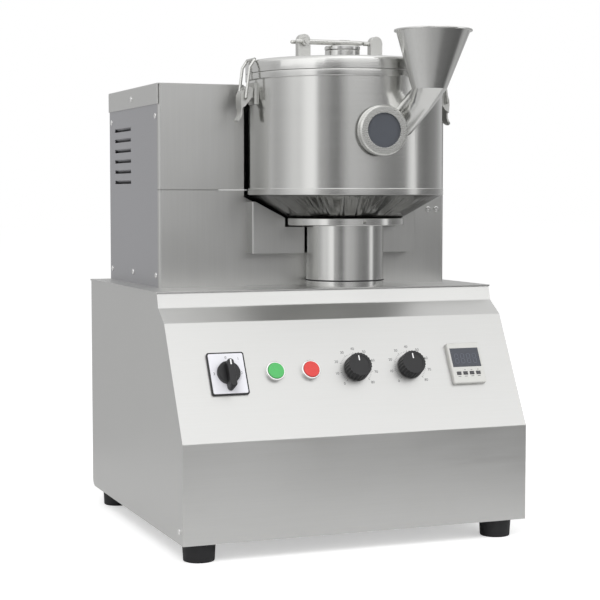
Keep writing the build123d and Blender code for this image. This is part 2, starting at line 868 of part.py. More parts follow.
def belt_outline(extra):
    """The outline of the belt, grown by an amount outside the pulley grooves."""
    big = driven_pulley_radius - groove_depth + part_gap + extra
    small = motor_pulley_radius - groove_depth + part_gap + extra
    away = hypot(motor_x - bowl_x, motor_y - bowl_y)
    heading = degrees(atan2(motor_y - bowl_y, motor_x - bowl_x))
    spread = degrees(acos((big - small) / away))
    with BuildSketch(Plane.XY.offset(belt_middle - belt_width / 2)) as sketch:
        with Locations((bowl_x, bowl_y)):
            Circle(big)
        with Locations((motor_x, motor_y)):
            Circle(small)
        corners = []
        for radius, x, y, turn in (
            (big, bowl_x, bowl_y, heading - spread),
            (small, motor_x, motor_y, heading - spread),
            (small, motor_x, motor_y, heading + spread),
            (big, bowl_x, bowl_y, heading + spread),
        ):
            corners.append((x + radius * cos(radians(turn)), y + radius * sin(radians(turn))))
        Polygon(*corners, align=None)
    return sketch.sketch


with BuildPart() as drive_belt:
    extrude(belt_outline(belt_thickness), amount=belt_width)
    extrude(belt_outline(0), amount=belt_width, mode=Mode.SUBTRACT)
keep("drive_belt", drive_belt)

pan_top = foot_height + sheet
with BuildPart() as main_motor:
    with BuildSketch(Plane.XY.offset(pan_top)):
        with Locations((motor_x, motor_y)):
            RectangleRounded(150, 150, 12)
    extrude(amount=10)
    with BuildSketch(Plane.XY.offset(pan_top + 10)):
        with Locations((motor_x, motor_y)):
            Circle(motor_radius - 6)
            with PolarLocations(motor_radius - 6, 20):
                Rectangle(12, 2.5)
    extrude(amount=motor_top - pan_top - 30)
    with BuildSketch(Plane.XY.offset(motor_top - 20)):
        with Locations((motor_x, motor_y)):
            Circle(motor_radius)
    extrude(amount=20)
    with BuildSketch(Plane.XY.offset(motor_shaft_low - 1)):
        with Locations((motor_x, motor_y)):
            Circle(motor_shaft_radius + running_fit)
    extrude(amount=60, mode=Mode.SUBTRACT)
    with BuildSketch(Plane.XZ.offset(-motor_y)):
        with Locations((motor_x, (pan_top + motor_top) / 2)):
            Rectangle(56, 50)
    extrude(amount=-(motor_radius + 26))
keep("main_motor", main_motor)

# Spindle housing under the top plate, its bearings and the shaft seal in the bowl floor
spindle_housing = turned([
    (bearing_radius, spindle_low),
    (spindle_radius, spindle_low),
    (spindle_radius, plate_low - spindle_flange),
    (spindle_flange_radius, plate_low - spindle_flange),
    (spindle_flange_radius, plate_low),
    (shaft_radius + 2, plate_low),
    (shaft_radius + 2, plate_low - 5.5),
    (bearing_radius, plate_low - 5.5),
    (bearing_radius, plate_low - 5.5 - bearing_height),
    (seal_radius, plate_low - 5.5 - bearing_height),
    (seal_radius, spindle_low + 3 + bearing_height),
    (bearing_radius, spindle_low + 3 + bearing_height),
])
keep("spindle_housing", spindle_housing)


def bearing(low):
    """A ball bearing closed by shields that sit back between its rings."""
    return turned([
        (shaft_bore, low),
        (shaft_bore + 3, low),
        (shaft_bore + 3, low + 1),
        (bearing_radius - 3, low + 1),
        (bearing_radius - 3, low),
        (bearing_radius, low),
        (bearing_radius, low + bearing_height),
        (bearing_radius - 3, low + bearing_height),
        (bearing_radius - 3, low + bearing_height - 1),
        (shaft_bore + 3, low + bearing_height - 1),
        (shaft_bore + 3, low + bearing_height),
        (shaft_bore, low + bearing_height),
    ])


with BuildPart() as spindle_bearings:
    add(bearing(spindle_low + 3).part)
    add(bearing(plate_low - 5.5 - bearing_height).part)
    add(turned(round_bar(seal_radius, shaft_bore, floor_height - 16, floor_height)).part)
keep("spindle_bearings", spindle_bearings)

hub_low = floor_height + impeller_gap
hub_top = hub_low + impeller_hub_height
spigot_top = hub_top + cap_height - 5
impeller_shaft = turned([
    (0, pulley_low - 3),
    (shaft_radius, pulley_low - 3),
    (shaft_radius, hub_low),
    (spigot_radius, hub_low),
    (spigot_radius, spigot_top),
    (0, spigot_top),
])
keep("impeller_shaft", impeller_shaft)

# Impeller: three pitched blades lofted from root to tip, swept to the bore of the bowl
blade_start = impeller_hub_radius - 8


def blade_section(out, blade_width, pitch):
    """The section of a blade at a distance from the axis: flat below, thinned at both edges."""
    rise = blade_width / 2 * sin(radians(pitch)) + blade_thickness / 2 * cos(radians(pitch))
    plane = Plane(origin=(out, 0, hub_low + rise), x_dir=(0, 1, 0), z_dir=(1, 0, 0))
    with BuildSketch(plane) as section:
        with Locations(Location((0, 0, 0), (0, 0, pitch))):
            Polygon(
                (-blade_width / 2, -blade_thickness / 2),
                (blade_width / 2, -blade_thickness / 2),
                (blade_width / 2, 0),
                (blade_width / 2 - 8, blade_thickness / 2),
                (-blade_width / 2 + 6, blade_thickness / 2),
                align=None,
            )
    return section.sketch


with BuildPart() as blade:
    root = blade_section(blade_start, blade_root_width, blade_root_pitch)
    tip = blade_section(impeller_reach + 2, blade_tip_width, blade_tip_pitch)
    loft(sections=[root, tip], ruled=True)
    with BuildSketch(Plane.XY.offset(hub_low)):
        Circle(impeller_reach)
    extrude(amount=60, mode=Mode.INTERSECT)

with BuildPart() as impeller:
    for number in range(blade_count):
        turn = 90 + number * 360 / blade_count
        add(blade.part.rotate(Axis.Z, turn).moved(Location((bowl_x, bowl_y, 0))))
    with BuildSketch(Plane.XY.offset(hub_low)):
        with Locations((bowl_x, bowl_y)):
            Circle(impeller_hub_radius)
    extrude(amount=impeller_hub_height)
    with BuildSketch(Plane.XY.offset(hub_low)):
        with Locations((bowl_x, bowl_y)):
            Circle(spigot_radius)
    extrude(amount=impeller_hub_height, mode=Mode.SUBTRACT)
keep("impeller", impeller)

with BuildPart() as impeller_cap:
    with BuildSketch(bowl_side) as cap_section:
        with Locations((impeller_hub_radius / 2 - 1, hub_top + cap_height / 2)):
            Rectangle(impeller_hub_radius - 2, cap_height)
        shoulder = cap_section.vertices().group_by(Axis.Y)[-1].sort_by(Axis.X)[-1]
        fillet(shoulder, radius=10)
        with Locations((spigot_radius / 2, (hub_top + spigot_top) / 2)):
            Rectangle(spigot_radius, spigot_top - hub_top, mode=Mode.SUBTRACT)
    revolve(axis=bowl_axis)
keep("impeller_cap", impeller_cap)

# Lid with its gasket, port and lugs
lid_bore = rim_radius - lid_skirt_width
with BuildPart() as lid:
    with BuildSketch(bowl_side) as lid_section:
        with BuildLine():
            Polyline(
                (0, lid_top),
                (rim_radius, lid_top),
                (rim_radius, lid_low),
                (lid_bore, lid_low),
                (lid_bore, lid_top - lid_plate),
                (0, lid_top - lid_plate),
                close=True,
            )
        make_face()
        edge = lid_section.vertices().group_by(Axis.Y)[-1].sort_by(Axis.X)[-1]
        fillet(edge, radius=lid_edge_round)
    revolve(axis=bowl_axis)
    with BuildSketch(Plane.XY.offset(lid_top)):
        with Locations((port_x, bowl_y)):
            Circle(port_bore)
    extrude(amount=-lid_plate, mode=Mode.SUBTRACT)
keep("lid", lid)

gasket_section = round_bar(bowl_bore - part_gap, lid_bore - 0.5, lid_low - gasket_height, lid_low)
lid_gasket = turned(gasket_section)
keep("lid_gasket", lid_gasket)

port_axis = Axis((port_x, bowl_y, 0), (0, 0, 1))
port_side = Plane(origin=(port_x, bowl_y, 0), x_dir=(1, 0, 0), z_dir=(0, -1, 0))
port_collar = turned([
    (port_bore, lid_top),
    (port_radius, lid_top),
    (port_radius, collar_top - 1),
    (port_radius - 1, collar_top),
    (port_bore, collar_top),
], port_side, port_axis)
keep("port_collar", port_collar)

post_top = bail_height - bail_rod_radius - 0.4
with BuildPart() as port_cap:
    add(turned([
        (0, cap_low - 2.5),
        (port_bore - 1.5, cap_low - 2.5),
        (port_bore - 1.5, cap_low),
        (cap_radius, cap_low),
        (cap_radius, cap_top - 1),
        (cap_radius - 1, cap_top),
        (6, cap_top),
        (6, post_top),
        (0, post_top),
    ], port_side, port_axis).part)
keep("port_cap", port_cap)

lug_centre = lug_top - lug_width / 2
bail_out = lug_depth / 2 + bail_gap + bail_rod_radius
eye_radius = 5.6
pin_half = bail_out + bail_rod_radius + 2
stop_pin_start = right_lug_x - stop_pin_length
lug_plane = Plane(origin=(0, bowl_y, 0), x_dir=(1, 0, 0), z_dir=(0, -1, 0))
with BuildPart() as lid_lugs:
    with BuildSketch(lug_plane):
        for lug_x in (left_lug_x, right_lug_x):
            with Locations((lug_x, lug_centre)):
                Circle(lug_width / 2)
            with Locations((lug_x, (lid_top + lug_centre) / 2)):
                Rectangle(lug_width, lug_centre - lid_top)
    extrude(amount=lug_depth / 2, both=True)
    chamfer(lid_lugs.edges().filter_by(GeomType.CIRCLE), length=0.6)
    with BuildSketch(lug_plane):
        with Locations((left_lug_x, bail_height)):
            Circle(bail_pin_radius)
    extrude(amount=pin_half, both=True)
    with BuildSketch(Plane.YZ.offset(stop_pin_start)):
        with Locations((bowl_y, bail_height)):
            Circle(bail_pin_radius)
    extrude(amount=right_lug_x + lug_width / 2 + 1.5 - stop_pin_start)
keep("lid_lugs", lid_lugs)

bail_bend = port_x + bail_reach
with BuildPart() as cap_bail:
    with BuildLine(Plane.XY.offset(bail_height)) as bail_path:
        Line((left_lug_x - bail_heel, bowl_y - bail_out), (bail_bend, bowl_y - bail_out))
        Line((left_lug_x - bail_heel, bowl_y + bail_out), (bail_bend, bowl_y + bail_out))
        ThreePointArc(
            (bail_bend, bowl_y - bail_out),
            (bail_bend + bail_out, bowl_y),
            (bail_bend, bowl_y + bail_out),
        )
    rod_start = Plane(origin=(left_lug_x - bail_heel, bowl_y - bail_out, bail_height), z_dir=(1, 0, 0))
    with BuildSketch(rod_start):
        Circle(bail_rod_radius)
    sweep(path=bail_path.wires()[0])
    for side in (-1, 1):
        with BuildSketch(lug_plane.offset(side * bail_out)):
            with Locations((left_lug_x, bail_height)):
                Circle(eye_radius)
        extrude(amount=bail_rod_radius, both=True)
        with Locations((left_lug_x - bail_heel, bowl_y + side * bail_out, bail_height)):
            Sphere(bail_rod_radius)
    with Locations((port_x, bowl_y, bail_height)):
        Box(14, 2 * bail_out + 2, 2 * (bail_height - post_top))
    with BuildSketch(lug_plane):
        with Locations((left_lug_x, bail_height)):
            Circle(bail_pin_radius + running_fit)
    extrude(amount=pin_half + 1, both=True, mode=Mode.SUBTRACT)
keep("cap_bail", cap_bail)

# Sight glass: the glass and the ring that clamps it on the neck's flange
glass_back = outward(sight_turn, sight_ring_out, sight_height)
with BuildPart() as sight_glass:
    with BuildSketch(glass_back):
        Circle(sight_glass_radius)
    extrude(amount=sight_glass_thickness)
keep("sight_glass", sight_glass)

with BuildPart() as sight_ring:
    with BuildSketch(glass_back):
        Circle(sight_ring_radius)
    extrude(amount=sight_ring_thickness)
    chamfer(sight_ring.edges().sort_by(Axis(glass_back.origin, glass_back.z_dir))[-1], length=2)
    with BuildSketch(glass_back):
        Circle(sight_glass_radius)
    extrude(amount=sight_glass_thickness, mode=Mode.SUBTRACT)
    with BuildSketch(glass_back):
        Circle(sight_window_radius)
    extrude(amount=sight_ring_thickness, mode=Mode.SUBTRACT)
keep("sight_ring", sight_ring)

# Feed: an oblique funnel, its throat and the slanted tube welded to the bowl
foot_rim = Plane(origin=funnel_foot, x_dir=feed_across, z_dir=(0, 0, -1))
top_rim = Plane(origin=funnel_top, x_dir=feed_across, z_dir=(0, 0, -1))


def disc(plane, radius):
    """A round section for a loft."""
    with BuildSketch(plane) as section:
        Circle(radius)
    return section.sketch


with BuildPart() as feed_funnel:
    loft(sections=[disc(top_rim, funnel_top_radius), disc(foot_rim, funnel_foot_radius)])
    extrude(disc(top_rim, lip_radius), amount=lip_height)
    inner_top = disc(top_rim, funnel_top_radius - feed_wall)
    loft(sections=[inner_top, disc(foot_rim, funnel_foot_radius - feed_wall)], mode=Mode.SUBTRACT)
    edges = feed_funnel.edges().filter_by(GeomType.CIRCLE).group_by(SortBy.RADIUS)[-1]
    fillet(edges, radius=0.6)
keep("feed_funnel", feed_funnel)

tube_start = feed_plane.offset(throat_length)
with BuildPart() as feed_tube:
    loft(sections=[disc(foot_rim, funnel_foot_radius), disc(tube_start, feed_tube_radius)])
    extrude(disc(tube_start, feed_tube_radius), amount=feed_length)
    inner_foot = disc(foot_rim, funnel_foot_radius - feed_wall)
    loft(sections=[inner_foot, disc(tube_start, feed_tube_radius - feed_wall)], mode=Mode.SUBTRACT)
    extrude(disc(tube_start, feed_tube_radius - feed_wall), amount=feed_length, mode=Mode.SUBTRACT)
    with Locations((bowl_x, bowl_y, feed_entry_height)):
        Cylinder(bowl_radius, 200, mode=Mode.SUBTRACT)
    if len(feed_tube.solids()) > 1:
        add(feed_tube.solids().sort_by(Axis.Z)[:-1], mode=Mode.SUBTRACT)
keep("feed_tube", feed_tube)

# Latches: bases welded to the wall, levers on their pins and wire loops over the lid
plate_face_out = bowl_radius + latch_plate_thickness
with BuildPart() as latch_bases:
    for side in (-1, 1):
        with BuildSketch(latch_plane(side)):
            with Locations(((plate_face_out + bowl_bore) / 2, (latch_plate_low + latch_plate_high) / 2)):
                Rectangle(plate_face_out - bowl_bore, latch_plate_high - latch_plate_low)
        extrude(amount=latch_plate_width / 2, both=True)
        with BuildSketch(latch_plane(side)):
            with Locations((latch_pivot_out, latch_pivot_height)):
                Circle(ear_radius)
            Polygon(
                (plate_face_out - 1, latch_pivot_height - 10),
                (latch_pivot_out, latch_pivot_height - ear_radius),
                (latch_pivot_out, latch_pivot_height + ear_radius),
                (plate_face_out - 1, latch_pivot_height + 3),
                align=None,
            )
        extrude(amount=ear_half_gap + ear_thickness, both=True)
        with BuildSketch(latch_plane(side)):
            with Locations((latch_pivot_out, latch_pivot_height)):
                Rectangle(2 * (latch_pivot_out - plate_face_out), 40)
        extrude(amount=ear_half_gap, both=True, mode=Mode.SUBTRACT)
        with BuildSketch(latch_plane(side)):
            with Locations((latch_pivot_out, latch_pivot_height)):
                Circle(latch_pin_radius)
        extrude(amount=lever_half_width + 1.2, both=True)
    with Locations((bowl_x, bowl_y, latch_pivot_height)):
        Cylinder(bowl_radius, 60, mode=Mode.SUBTRACT)
keep("latch_bases", latch_bases)

web_top_out = latch_pivot_out + 6.5
handle_half_width = 8
for side, lever_name, loop_name in (
    (-1, "latch_lever_left", "latch_loop_left"),
    (1, "latch_lever_right", "latch_loop_right"),
):
    with BuildPart() as lever:
        with BuildSketch(latch_plane(side)):
            with Locations((latch_pivot_out, latch_pivot_height)):
                Circle(ear_radius - 0.2)
            Polygon(
                (latch_pivot_out, latch_pivot_height),
                (latch_pivot_out, latch_pivot_height + 4),
                (web_top_out + lever_sheet, latch_pivot_height - 0.5),
                (loop_pivot_out + 5.3, loop_pivot_height + 4),
                (loop_pivot_out + 5.5, loop_pivot_height - 4),
                (loop_pivot_out + 4.7, loop_pivot_height - 14),
                (loop_pivot_out - 1, loop_pivot_height - 10),
                (latch_pivot_out - 3, loop_pivot_height),
                (latch_pivot_out - 5, latch_pivot_height - 2),
                align=None,
            )
        extrude(amount=lever_half_width, both=True)
        with BuildSketch(latch_plane(side)):
            Polygon(
                (latch_pivot_out - 12, latch_pivot_height + 12),
                (web_top_out, latch_pivot_height + 12),
                (web_top_out, latch_pivot_height - 0.5),
                (loop_pivot_out + 3, loop_pivot_height + 4),
                (loop_pivot_out + 3.2, loop_pivot_height - 4),
                (loop_pivot_out + 2.3, loop_pivot_height - 20),
                (latch_pivot_out - 12, loop_pivot_height - 20),
                align=None,
            )
        extrude(amount=lever_half_width - lever_sheet, both=True, mode=Mode.SUBTRACT)
        with BuildSketch(latch_plane(side)):
            with BuildLine():
                outer_curve = Spline(
                    (loop_pivot_out + 5.5, loop_pivot_height - 2),
                    (loop_pivot_out + 4.7, loop_pivot_height - 14),
                    (loop_pivot_out + 5.2, loop_pivot_height - 22),
                    (loop_pivot_out + 10.5, lever_tip_height + 1.6),
                )
                inner_curve = Spline(
                    (loop_pivot_out + 3.3, loop_pivot_height - 2),
                    (loop_pivot_out + 2.5, loop_pivot_height - 14),
                    (loop_pivot_out + 3, loop_pivot_height - 22.6),
                    (loop_pivot_out + 8.8, lever_tip_height),
                )
                Line(outer_curve @ 0, inner_curve @ 0)
                Line(outer_curve @ 1, inner_curve @ 1)
            make_face()
        extrude(amount=handle_half_width, both=True)
        tip_corners = lever.edges().filter_by(lambda edge: edge.length < 2.6).group_by(Axis.Z)[0]
        fillet(tip_corners, radius=6)
        with BuildSketch(latch_plane(side)):
            with Locations((latch_pivot_out, latch_pivot_height)):
                Circle(latch_pin_radius + running_fit)
            with Locations((loop_pivot_out, loop_pivot_height)):
                Circle(wire_radius + running_fit)
        extrude(amount=lever_half_width + 1, both=True, mode=Mode.SUBTRACT)
    keep(lever_name, lever)

    bar_offset = (lid_edge_round + wire_radius + part_gap) * cos(radians(45))
    bar_out = rim_radius - lid_edge_round + bar_offset
    bar_height = lid_top - lid_edge_round + bar_offset

    def loop_point(out, across, height, side=side):
        """A point of the wire loop, measured out from the bowl axis."""
        return (bowl_x + side * out, bowl_y + across, height)

    with BuildPart() as loop:
        with BuildLine() as wire:
            Polyline(
                loop_point(loop_pivot_out, -lever_half_width + 3, loop_pivot_height),
                loop_point(loop_pivot_out, -loop_half_width, loop_pivot_height),
                loop_point(loop_knee_out, -loop_half_width, loop_knee_height),
                loop_point(bar_out, -loop_half_width, bar_height),
                loop_point(bar_out, loop_half_width, bar_height),
                loop_point(loop_knee_out, loop_half_width, loop_knee_height),
                loop_point(loop_pivot_out, loop_half_width, loop_pivot_height),
                loop_point(loop_pivot_out, lever_half_width - 3, loop_pivot_height),
            )
        start = loop_point(loop_pivot_out, -lever_half_width + 3, loop_pivot_height)
        with BuildSketch(Plane(origin=start, x_dir=(0, 0, 1), z_dir=(0, -1, 0))):
            Circle(wire_radius)
        sweep(path=wire.wires()[0], transition=Transition.ROUND)
    keep(loop_name, loop)

# Controls on the sloping panel
switch_hole = 5
grip_width = 9
switch_knob_low = 3.5
switch_knob_disc = 6
with BuildPart() as switch_frame:
    with BuildSketch(on_panel(switch_x, control_row)):
        RectangleRounded(switch_width, switch_height, 3)
    extrude(amount=3)
    with BuildSketch(on_panel(switch_x, control_row, 3)):
        RectangleRounded(switch_width - 3, switch_height - 3, 2)
    extrude(amount=-0.6, mode=Mode.SUBTRACT)
    with BuildSketch(on_panel(switch_x, control_row)):
        Circle(switch_knob_radius - part_gap)
    extrude(amount=-34)
    with BuildSketch(on_panel(switch_x, control_row, 3)):
        Circle(switch_hole + running_fit)
    extrude(amount=-20, mode=Mode.SUBTRACT)
keep("switch_frame", switch_frame)

with BuildPart() as switch_knob:
    with BuildSketch(on_panel(switch_x, control_row, switch_knob_low)):
        Circle(switch_knob_radius)
    extrude(amount=switch_knob_disc)
    chamfer(switch_knob.edges().filter_by(GeomType.CIRCLE).sort_by(Axis.Z)[-1], length=1)
    with BuildSketch(on_panel(switch_x, control_row, switch_knob_low + 1)):
        with Locations((0, -5)):
            SlotOverall(38, grip_width, rotation=90)
    extrude(amount=16)
    tops = switch_knob.edges().group_by(Axis((switch_x, front_y, front_top), panel_normal))[-1]
    fillet(tops, radius=1.5)
    with BuildSketch(on_panel(switch_x, control_row, switch_knob_low)):
        Circle(switch_hole)
    extrude(amount=-18)
keep("switch_knob", switch_knob)

bezel_height = 5.5
bezel_floor = 1
button_low = 4.2
button_proud = 1.6
stem_bore = button_stem_radius + running_fit
button_places = ((start_x, "start_button"), (stop_x, "stop_button"))
with BuildPart() as button_bezels:
    for x, name in button_places:
        with BuildSketch(on_panel(x, control_row)):
            Circle(button_bezel_radius)
        extrude(amount=bezel_height)
        with BuildSketch(on_panel(x, control_row)):
            Circle(button_barrel_radius)
        extrude(amount=-25)
    rims = button_bezels.edges().filter_by(GeomType.CIRCLE)
    fillet(rims.group_by(Axis((0, front_y, front_top), panel_normal))[-1], radius=1)
    for x, name in button_places:
        with BuildSketch(on_panel(x, control_row, bezel_height)):
            Circle(button_radius + part_gap)
        extrude(amount=bezel_floor - bezel_height, mode=Mode.SUBTRACT)
        with BuildSketch(on_panel(x, control_row, bezel_floor)):
            Circle(stem_bore)
        extrude(amount=-20, mode=Mode.SUBTRACT)
keep("button_bezels", button_bezels)

for x, name in button_places:
    with BuildPart() as button:
        with BuildSketch(on_panel(x, control_row, button_low)):
            Circle(button_radius)
        extrude(amount=bezel_height + button_proud - button_low)
        crown = button.edges().filter_by(GeomType.CIRCLE)
        fillet(crown.group_by(Axis((0, front_y, front_top), panel_normal))[-1], radius=0.8)
        with BuildSketch(on_panel(x, control_row, button_low)):
            Circle(button_stem_radius)
        extrude(amount=-16)
    keep(name, button)

knob_low = 0.5
knob_hole = 5
for x, name in ((mixing_knob_x, "mixing_speed_knob"), (chopping_knob_x, "chopper_speed_knob")):
    with BuildPart() as knob:
        with BuildSketch(on_panel(x, control_row, knob_low)):
            Circle(knob_radius)
        extrude(amount=3)
        with BuildSketch(on_panel(x, control_row, knob_low + 3)):
            Circle(knob_radius)
            with PolarLocations(knob_radius + 1.5, 24, start_angle=7.5):
                Circle(2.2, mode=Mode.SUBTRACT)
        extrude(amount=knob_height - 3, taper=4)
        with BuildSketch(on_panel(x, control_row, knob_low + knob_height)):
            Circle(knob_grip_radius)
        extrude(amount=-0.6, mode=Mode.SUBTRACT)
        with BuildSketch(on_panel(x, control_row, knob_low)):
            Circle(knob_hole - part_gap)
        extrude(amount=-14)
    keep(name, knob)

# Timer: a case through the panel, a window and four keys
case_height = 6
window_low = control_row - 6
window_high = control_row + 21
window_width = 42
window_depth = 1
key_low = 3.4
with BuildPart() as timer_case:
    with BuildSketch(on_panel(timer_x, control_row)):
        RectangleRounded(timer_width, timer_height, 2)
    extrude(amount=case_height)
    face_edges = timer_case.edges().group_by(Axis((0, front_y, front_top), panel_normal))[-1]
    chamfer(face_edges, length=1)
    with BuildSketch(on_panel(timer_x, control_row)):
        Rectangle(timer_body, timer_body)
    extrude(amount=-60)
    with BuildSketch(on_panel(timer_x, (window_low + window_high) / 2, case_height)):
        Rectangle(window_width, window_high - window_low)
    extrude(amount=-window_depth, mode=Mode.SUBTRACT)
    with BuildSketch(on_panel(timer_x, key_row, case_height)):
        with GridLocations(key_pitch, 0, key_count, 1):
            Rectangle(key_width + 0.6, key_height + 0.6)
    extrude(amount=-4, mode=Mode.SUBTRACT)
keep("timer_case", timer_case)

with BuildPart() as timer_window:
    with BuildSketch(on_panel(timer_x, (window_low + window_high) / 2, case_height - window_depth)):
        Rectangle(window_width, window_high - window_low)
    extrude(amount=window_depth)
keep("timer_window", timer_window)

for number in range(key_count):
    key_x = timer_x + (number - (key_count - 1) / 2) * key_pitch
    with BuildPart() as key:
        with BuildSketch(on_panel(key_x, key_row, key_low)):
            Rectangle(key_width, key_height)
        extrude(amount=case_height + 0.6 - key_low)
        face = key.edges().group_by(Axis((0, front_y, front_top), panel_normal))[-1]
        chamfer(face, length=0.3)
    keep(f"timer_key_{number + 1}", key)
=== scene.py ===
"""Bench rapid mixer granulator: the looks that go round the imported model."""

import logging
import math
from dataclasses import dataclass, field
from enum import Enum

import bmesh
import bpy
from mathutils import Matrix, Vector


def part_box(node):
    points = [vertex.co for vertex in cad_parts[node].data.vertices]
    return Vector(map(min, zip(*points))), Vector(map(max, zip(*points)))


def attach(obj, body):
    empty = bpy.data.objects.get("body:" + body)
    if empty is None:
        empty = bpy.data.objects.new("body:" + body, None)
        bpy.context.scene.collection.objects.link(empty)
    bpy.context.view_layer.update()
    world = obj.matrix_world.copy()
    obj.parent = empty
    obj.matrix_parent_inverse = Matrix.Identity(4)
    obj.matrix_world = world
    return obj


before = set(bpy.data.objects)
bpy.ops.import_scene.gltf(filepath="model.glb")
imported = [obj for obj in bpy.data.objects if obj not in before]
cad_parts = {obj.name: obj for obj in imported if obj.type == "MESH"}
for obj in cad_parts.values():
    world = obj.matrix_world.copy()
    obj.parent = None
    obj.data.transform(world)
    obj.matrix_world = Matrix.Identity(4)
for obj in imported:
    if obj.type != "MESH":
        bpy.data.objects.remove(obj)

LOG = logging.getLogger("granulator")
MM = 0.001
BOWL_LOW, BOWL_HIGH = (Vector(corner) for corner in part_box("pedestal"))
BOWL_X, BOWL_Y = ((BOWL_LOW + BOWL_HIGH) / 2).xy
PANEL_FOOT = (0.0, BOWL_Y - 0.1635, 0.152)
PANEL_LEAN = math.atan2(0.077, 0.144)


def linear(code: str) -> tuple[float, float, float, float]:
    """Turn an sRGB hex colour to linear light.

    Args:
        code: Six hex digits, with or without a leading hash.

    Returns:
        Red, green, blue and an alpha of one.
    """
    digits = code.lstrip("#")
    parts = [int(digits[at:at + 2], 16) / 255 for at in (0, 2, 4)]
    parts = [part / 12.92 if part <= 0.04045 else ((part + 0.055) / 1.055) ** 2.4 for part in parts]
    return (parts[0], parts[1], parts[2], 1.0)


def add_node(tree: bpy.types.NodeTree, kind: str, inputs: dict | None = None, **settings) -> bpy.types.Node:
    """Add a node with its settings and its links.

    Args:
        tree: The tree that gets the node.
        kind: The node's type name.
        inputs: Values or sockets by input name or number.
        **settings: Properties of the node itself.

    Returns:
        The new node.
    """
    item = tree.nodes.new(kind)
    for name, value in settings.items():
        setattr(item, name, value)
    for name, value in (inputs or {}).items():
        if isinstance(value, bpy.types.NodeSocket):
            tree.links.new(value, item.inputs[name])
        else:
            item.inputs[name].default_value = value
    return item


def new_material(name: str) -> tuple[bpy.types.Material, bpy.types.NodeTree, bpy.types.Node]:
    """Start a material with an empty tree and an output.

    Args:
        name: The material's name.

    Returns:
        The material, its tree and its output node.
    """
    material = bpy.data.materials.new(name)
    material.use_nodes = True
    material.node_tree.nodes.clear()
    output = add_node(material.node_tree, "ShaderNodeOutputMaterial")
    return material, material.node_tree, output


class Lay(Enum):
    """The way the grain of a worked surface runs."""

    UPRIGHT = "upright"
    ACROSS = "across"
    ROUND = "round"
    NONE = "none"


@dataclass(frozen=True)
class Steel:
    """Stainless steel with the lay that its last tool left.

    Roughness and colour vary softly along the grain, so a flat sheet never looks like one flat tone.
    """

    name: str
    colour: str
    shade: str
    roughness: float
    spread: float
    lay: Lay
    grain_mm: float = 1.4
    length_mm: float = 90.0
    bump: float = 0.02
    centre: tuple[float, float] = (BOWL_X, BOWL_Y)
    patch_mm: float = 120.0
    # Painted shade: below the given height the steel turns to a darker grey that stands in for the shade on the
    # part's underside
    painted_shade_below: float = 0.0
    painted_shade_colour: str = "#7A7A77"

    def pattern(self, tree: bpy.types.NodeTree) -> bpy.types.NodeSocket:
        """Coordinates whose unit is one grain across its lay.

        Args:
            tree: The material's tree.

        Returns:
            The vector socket for a noise texture.
        """
        coordinates = add_node(tree, "ShaderNodeTexCoord").outputs["Object"]
        fine = 1 / (self.grain_mm * MM)
        long = 1 / (self.length_mm * MM)
        if self.lay is Lay.ROUND:
            centred = add_node(
                tree, "ShaderNodeMapping", {"Vector": coordinates, "Location": (-self.centre[0], -self.centre[1], 0)}
            )
            parts = add_node(tree, "ShaderNodeSeparateXYZ", {0: centred.outputs[0]})
            flat = add_node(tree, "ShaderNodeCombineXYZ", {"X": parts.outputs["X"], "Y": parts.outputs["Y"]})
            out = add_node(tree, "ShaderNodeVectorMath", {0: flat.outputs[0]}, operation="LENGTH")
            turned = add_node(tree, "ShaderNodeCombineXYZ", {"X": out.outputs["Value"], "Z": parts.outputs["Z"]})
            scaled = add_node(tree, "ShaderNodeMapping", {"Vector": turned.outputs[0], "Scale": (fine, 1, fine)})
            return scaled.outputs[0]
        scale = {
            Lay.UPRIGHT: (fine, fine, long),
            Lay.ACROSS: (long, fine, fine),
            Lay.NONE: (fine, fine, fine),
        }[self.lay]
        return add_node(tree, "ShaderNodeMapping", {"Vector": coordinates, "Scale": scale}).outputs[0]

    def make(self) -> bpy.types.Material:
        """Build the material.

        Returns:
            The finished material.
        """
        material, tree, output = new_material(self.name)
        grain = add_node(tree, "ShaderNodeTexNoise", {"Vector": self.pattern(tree), "Scale": 1.0, "Detail": 3.0})
        place = add_node(tree, "ShaderNodeTexCoord")
        patches = add_node(
            tree,
            "ShaderNodeTexNoise",
            {"Vector": place.outputs["Object"], "Scale": 1 / (self.patch_mm * MM), "Detail": 2.0},
        )
        both = add_node(
            tree, "ShaderNodeMix", {0: 0.45, 2: grain.outputs[0], 3: patches.outputs[0]}, data_type="FLOAT"
        )
        rough = add_node(
            tree,
            "ShaderNodeMapRange",
            {
                "Value": both.outputs[0],
                "From Min": 0.3,
                "From Max": 0.7,
                "To Min": self.roughness - self.spread,
                "To Max": self.roughness + self.spread,
            },
        )
        tint = add_node(
            tree,
            "ShaderNodeMix",
            {0: both.outputs[0], 6: linear(self.shade), 7: linear(self.colour)},
            data_type="RGBA",
        )
        colour = tint.outputs[2]
        # Painted shade: below the given height the colour is mixed to the darker grey, for the shade on the
        # underside
        if self.painted_shade_below:
            height = add_node(tree, "ShaderNodeSeparateXYZ", {0: place.outputs["Object"]})
            under = add_node(
                tree,
                "ShaderNodeMapRange",
                {
                    "Value": height.outputs["Z"],
                    "From Min": self.painted_shade_below - 0.0005,
                    "From Max": self.painted_shade_below + 0.0005,
                },
            )
            shaded_below = add_node(
                tree,
                "ShaderNodeMix",
                {0: under.outputs[0], 6: linear(self.painted_shade_colour), 7: colour},
                data_type="RGBA",
            )
            colour = shaded_below.outputs[2]
        relief = add_node(
            tree,
            "ShaderNodeBump",
            {"Height": grain.outputs[0], "Strength": self.bump, "Distance": 0.0005},
        )
        shader = add_node(
            tree,
            "ShaderNodeBsdfPrincipled",
            {
                "Base Color": colour,
                "Roughness": rough.outputs[0],
                "Metallic": 1.0,
                "Normal": relief.outputs[0],
            },
        )
        tree.links.new(shader.outputs[0], output.inputs[0])
        return material


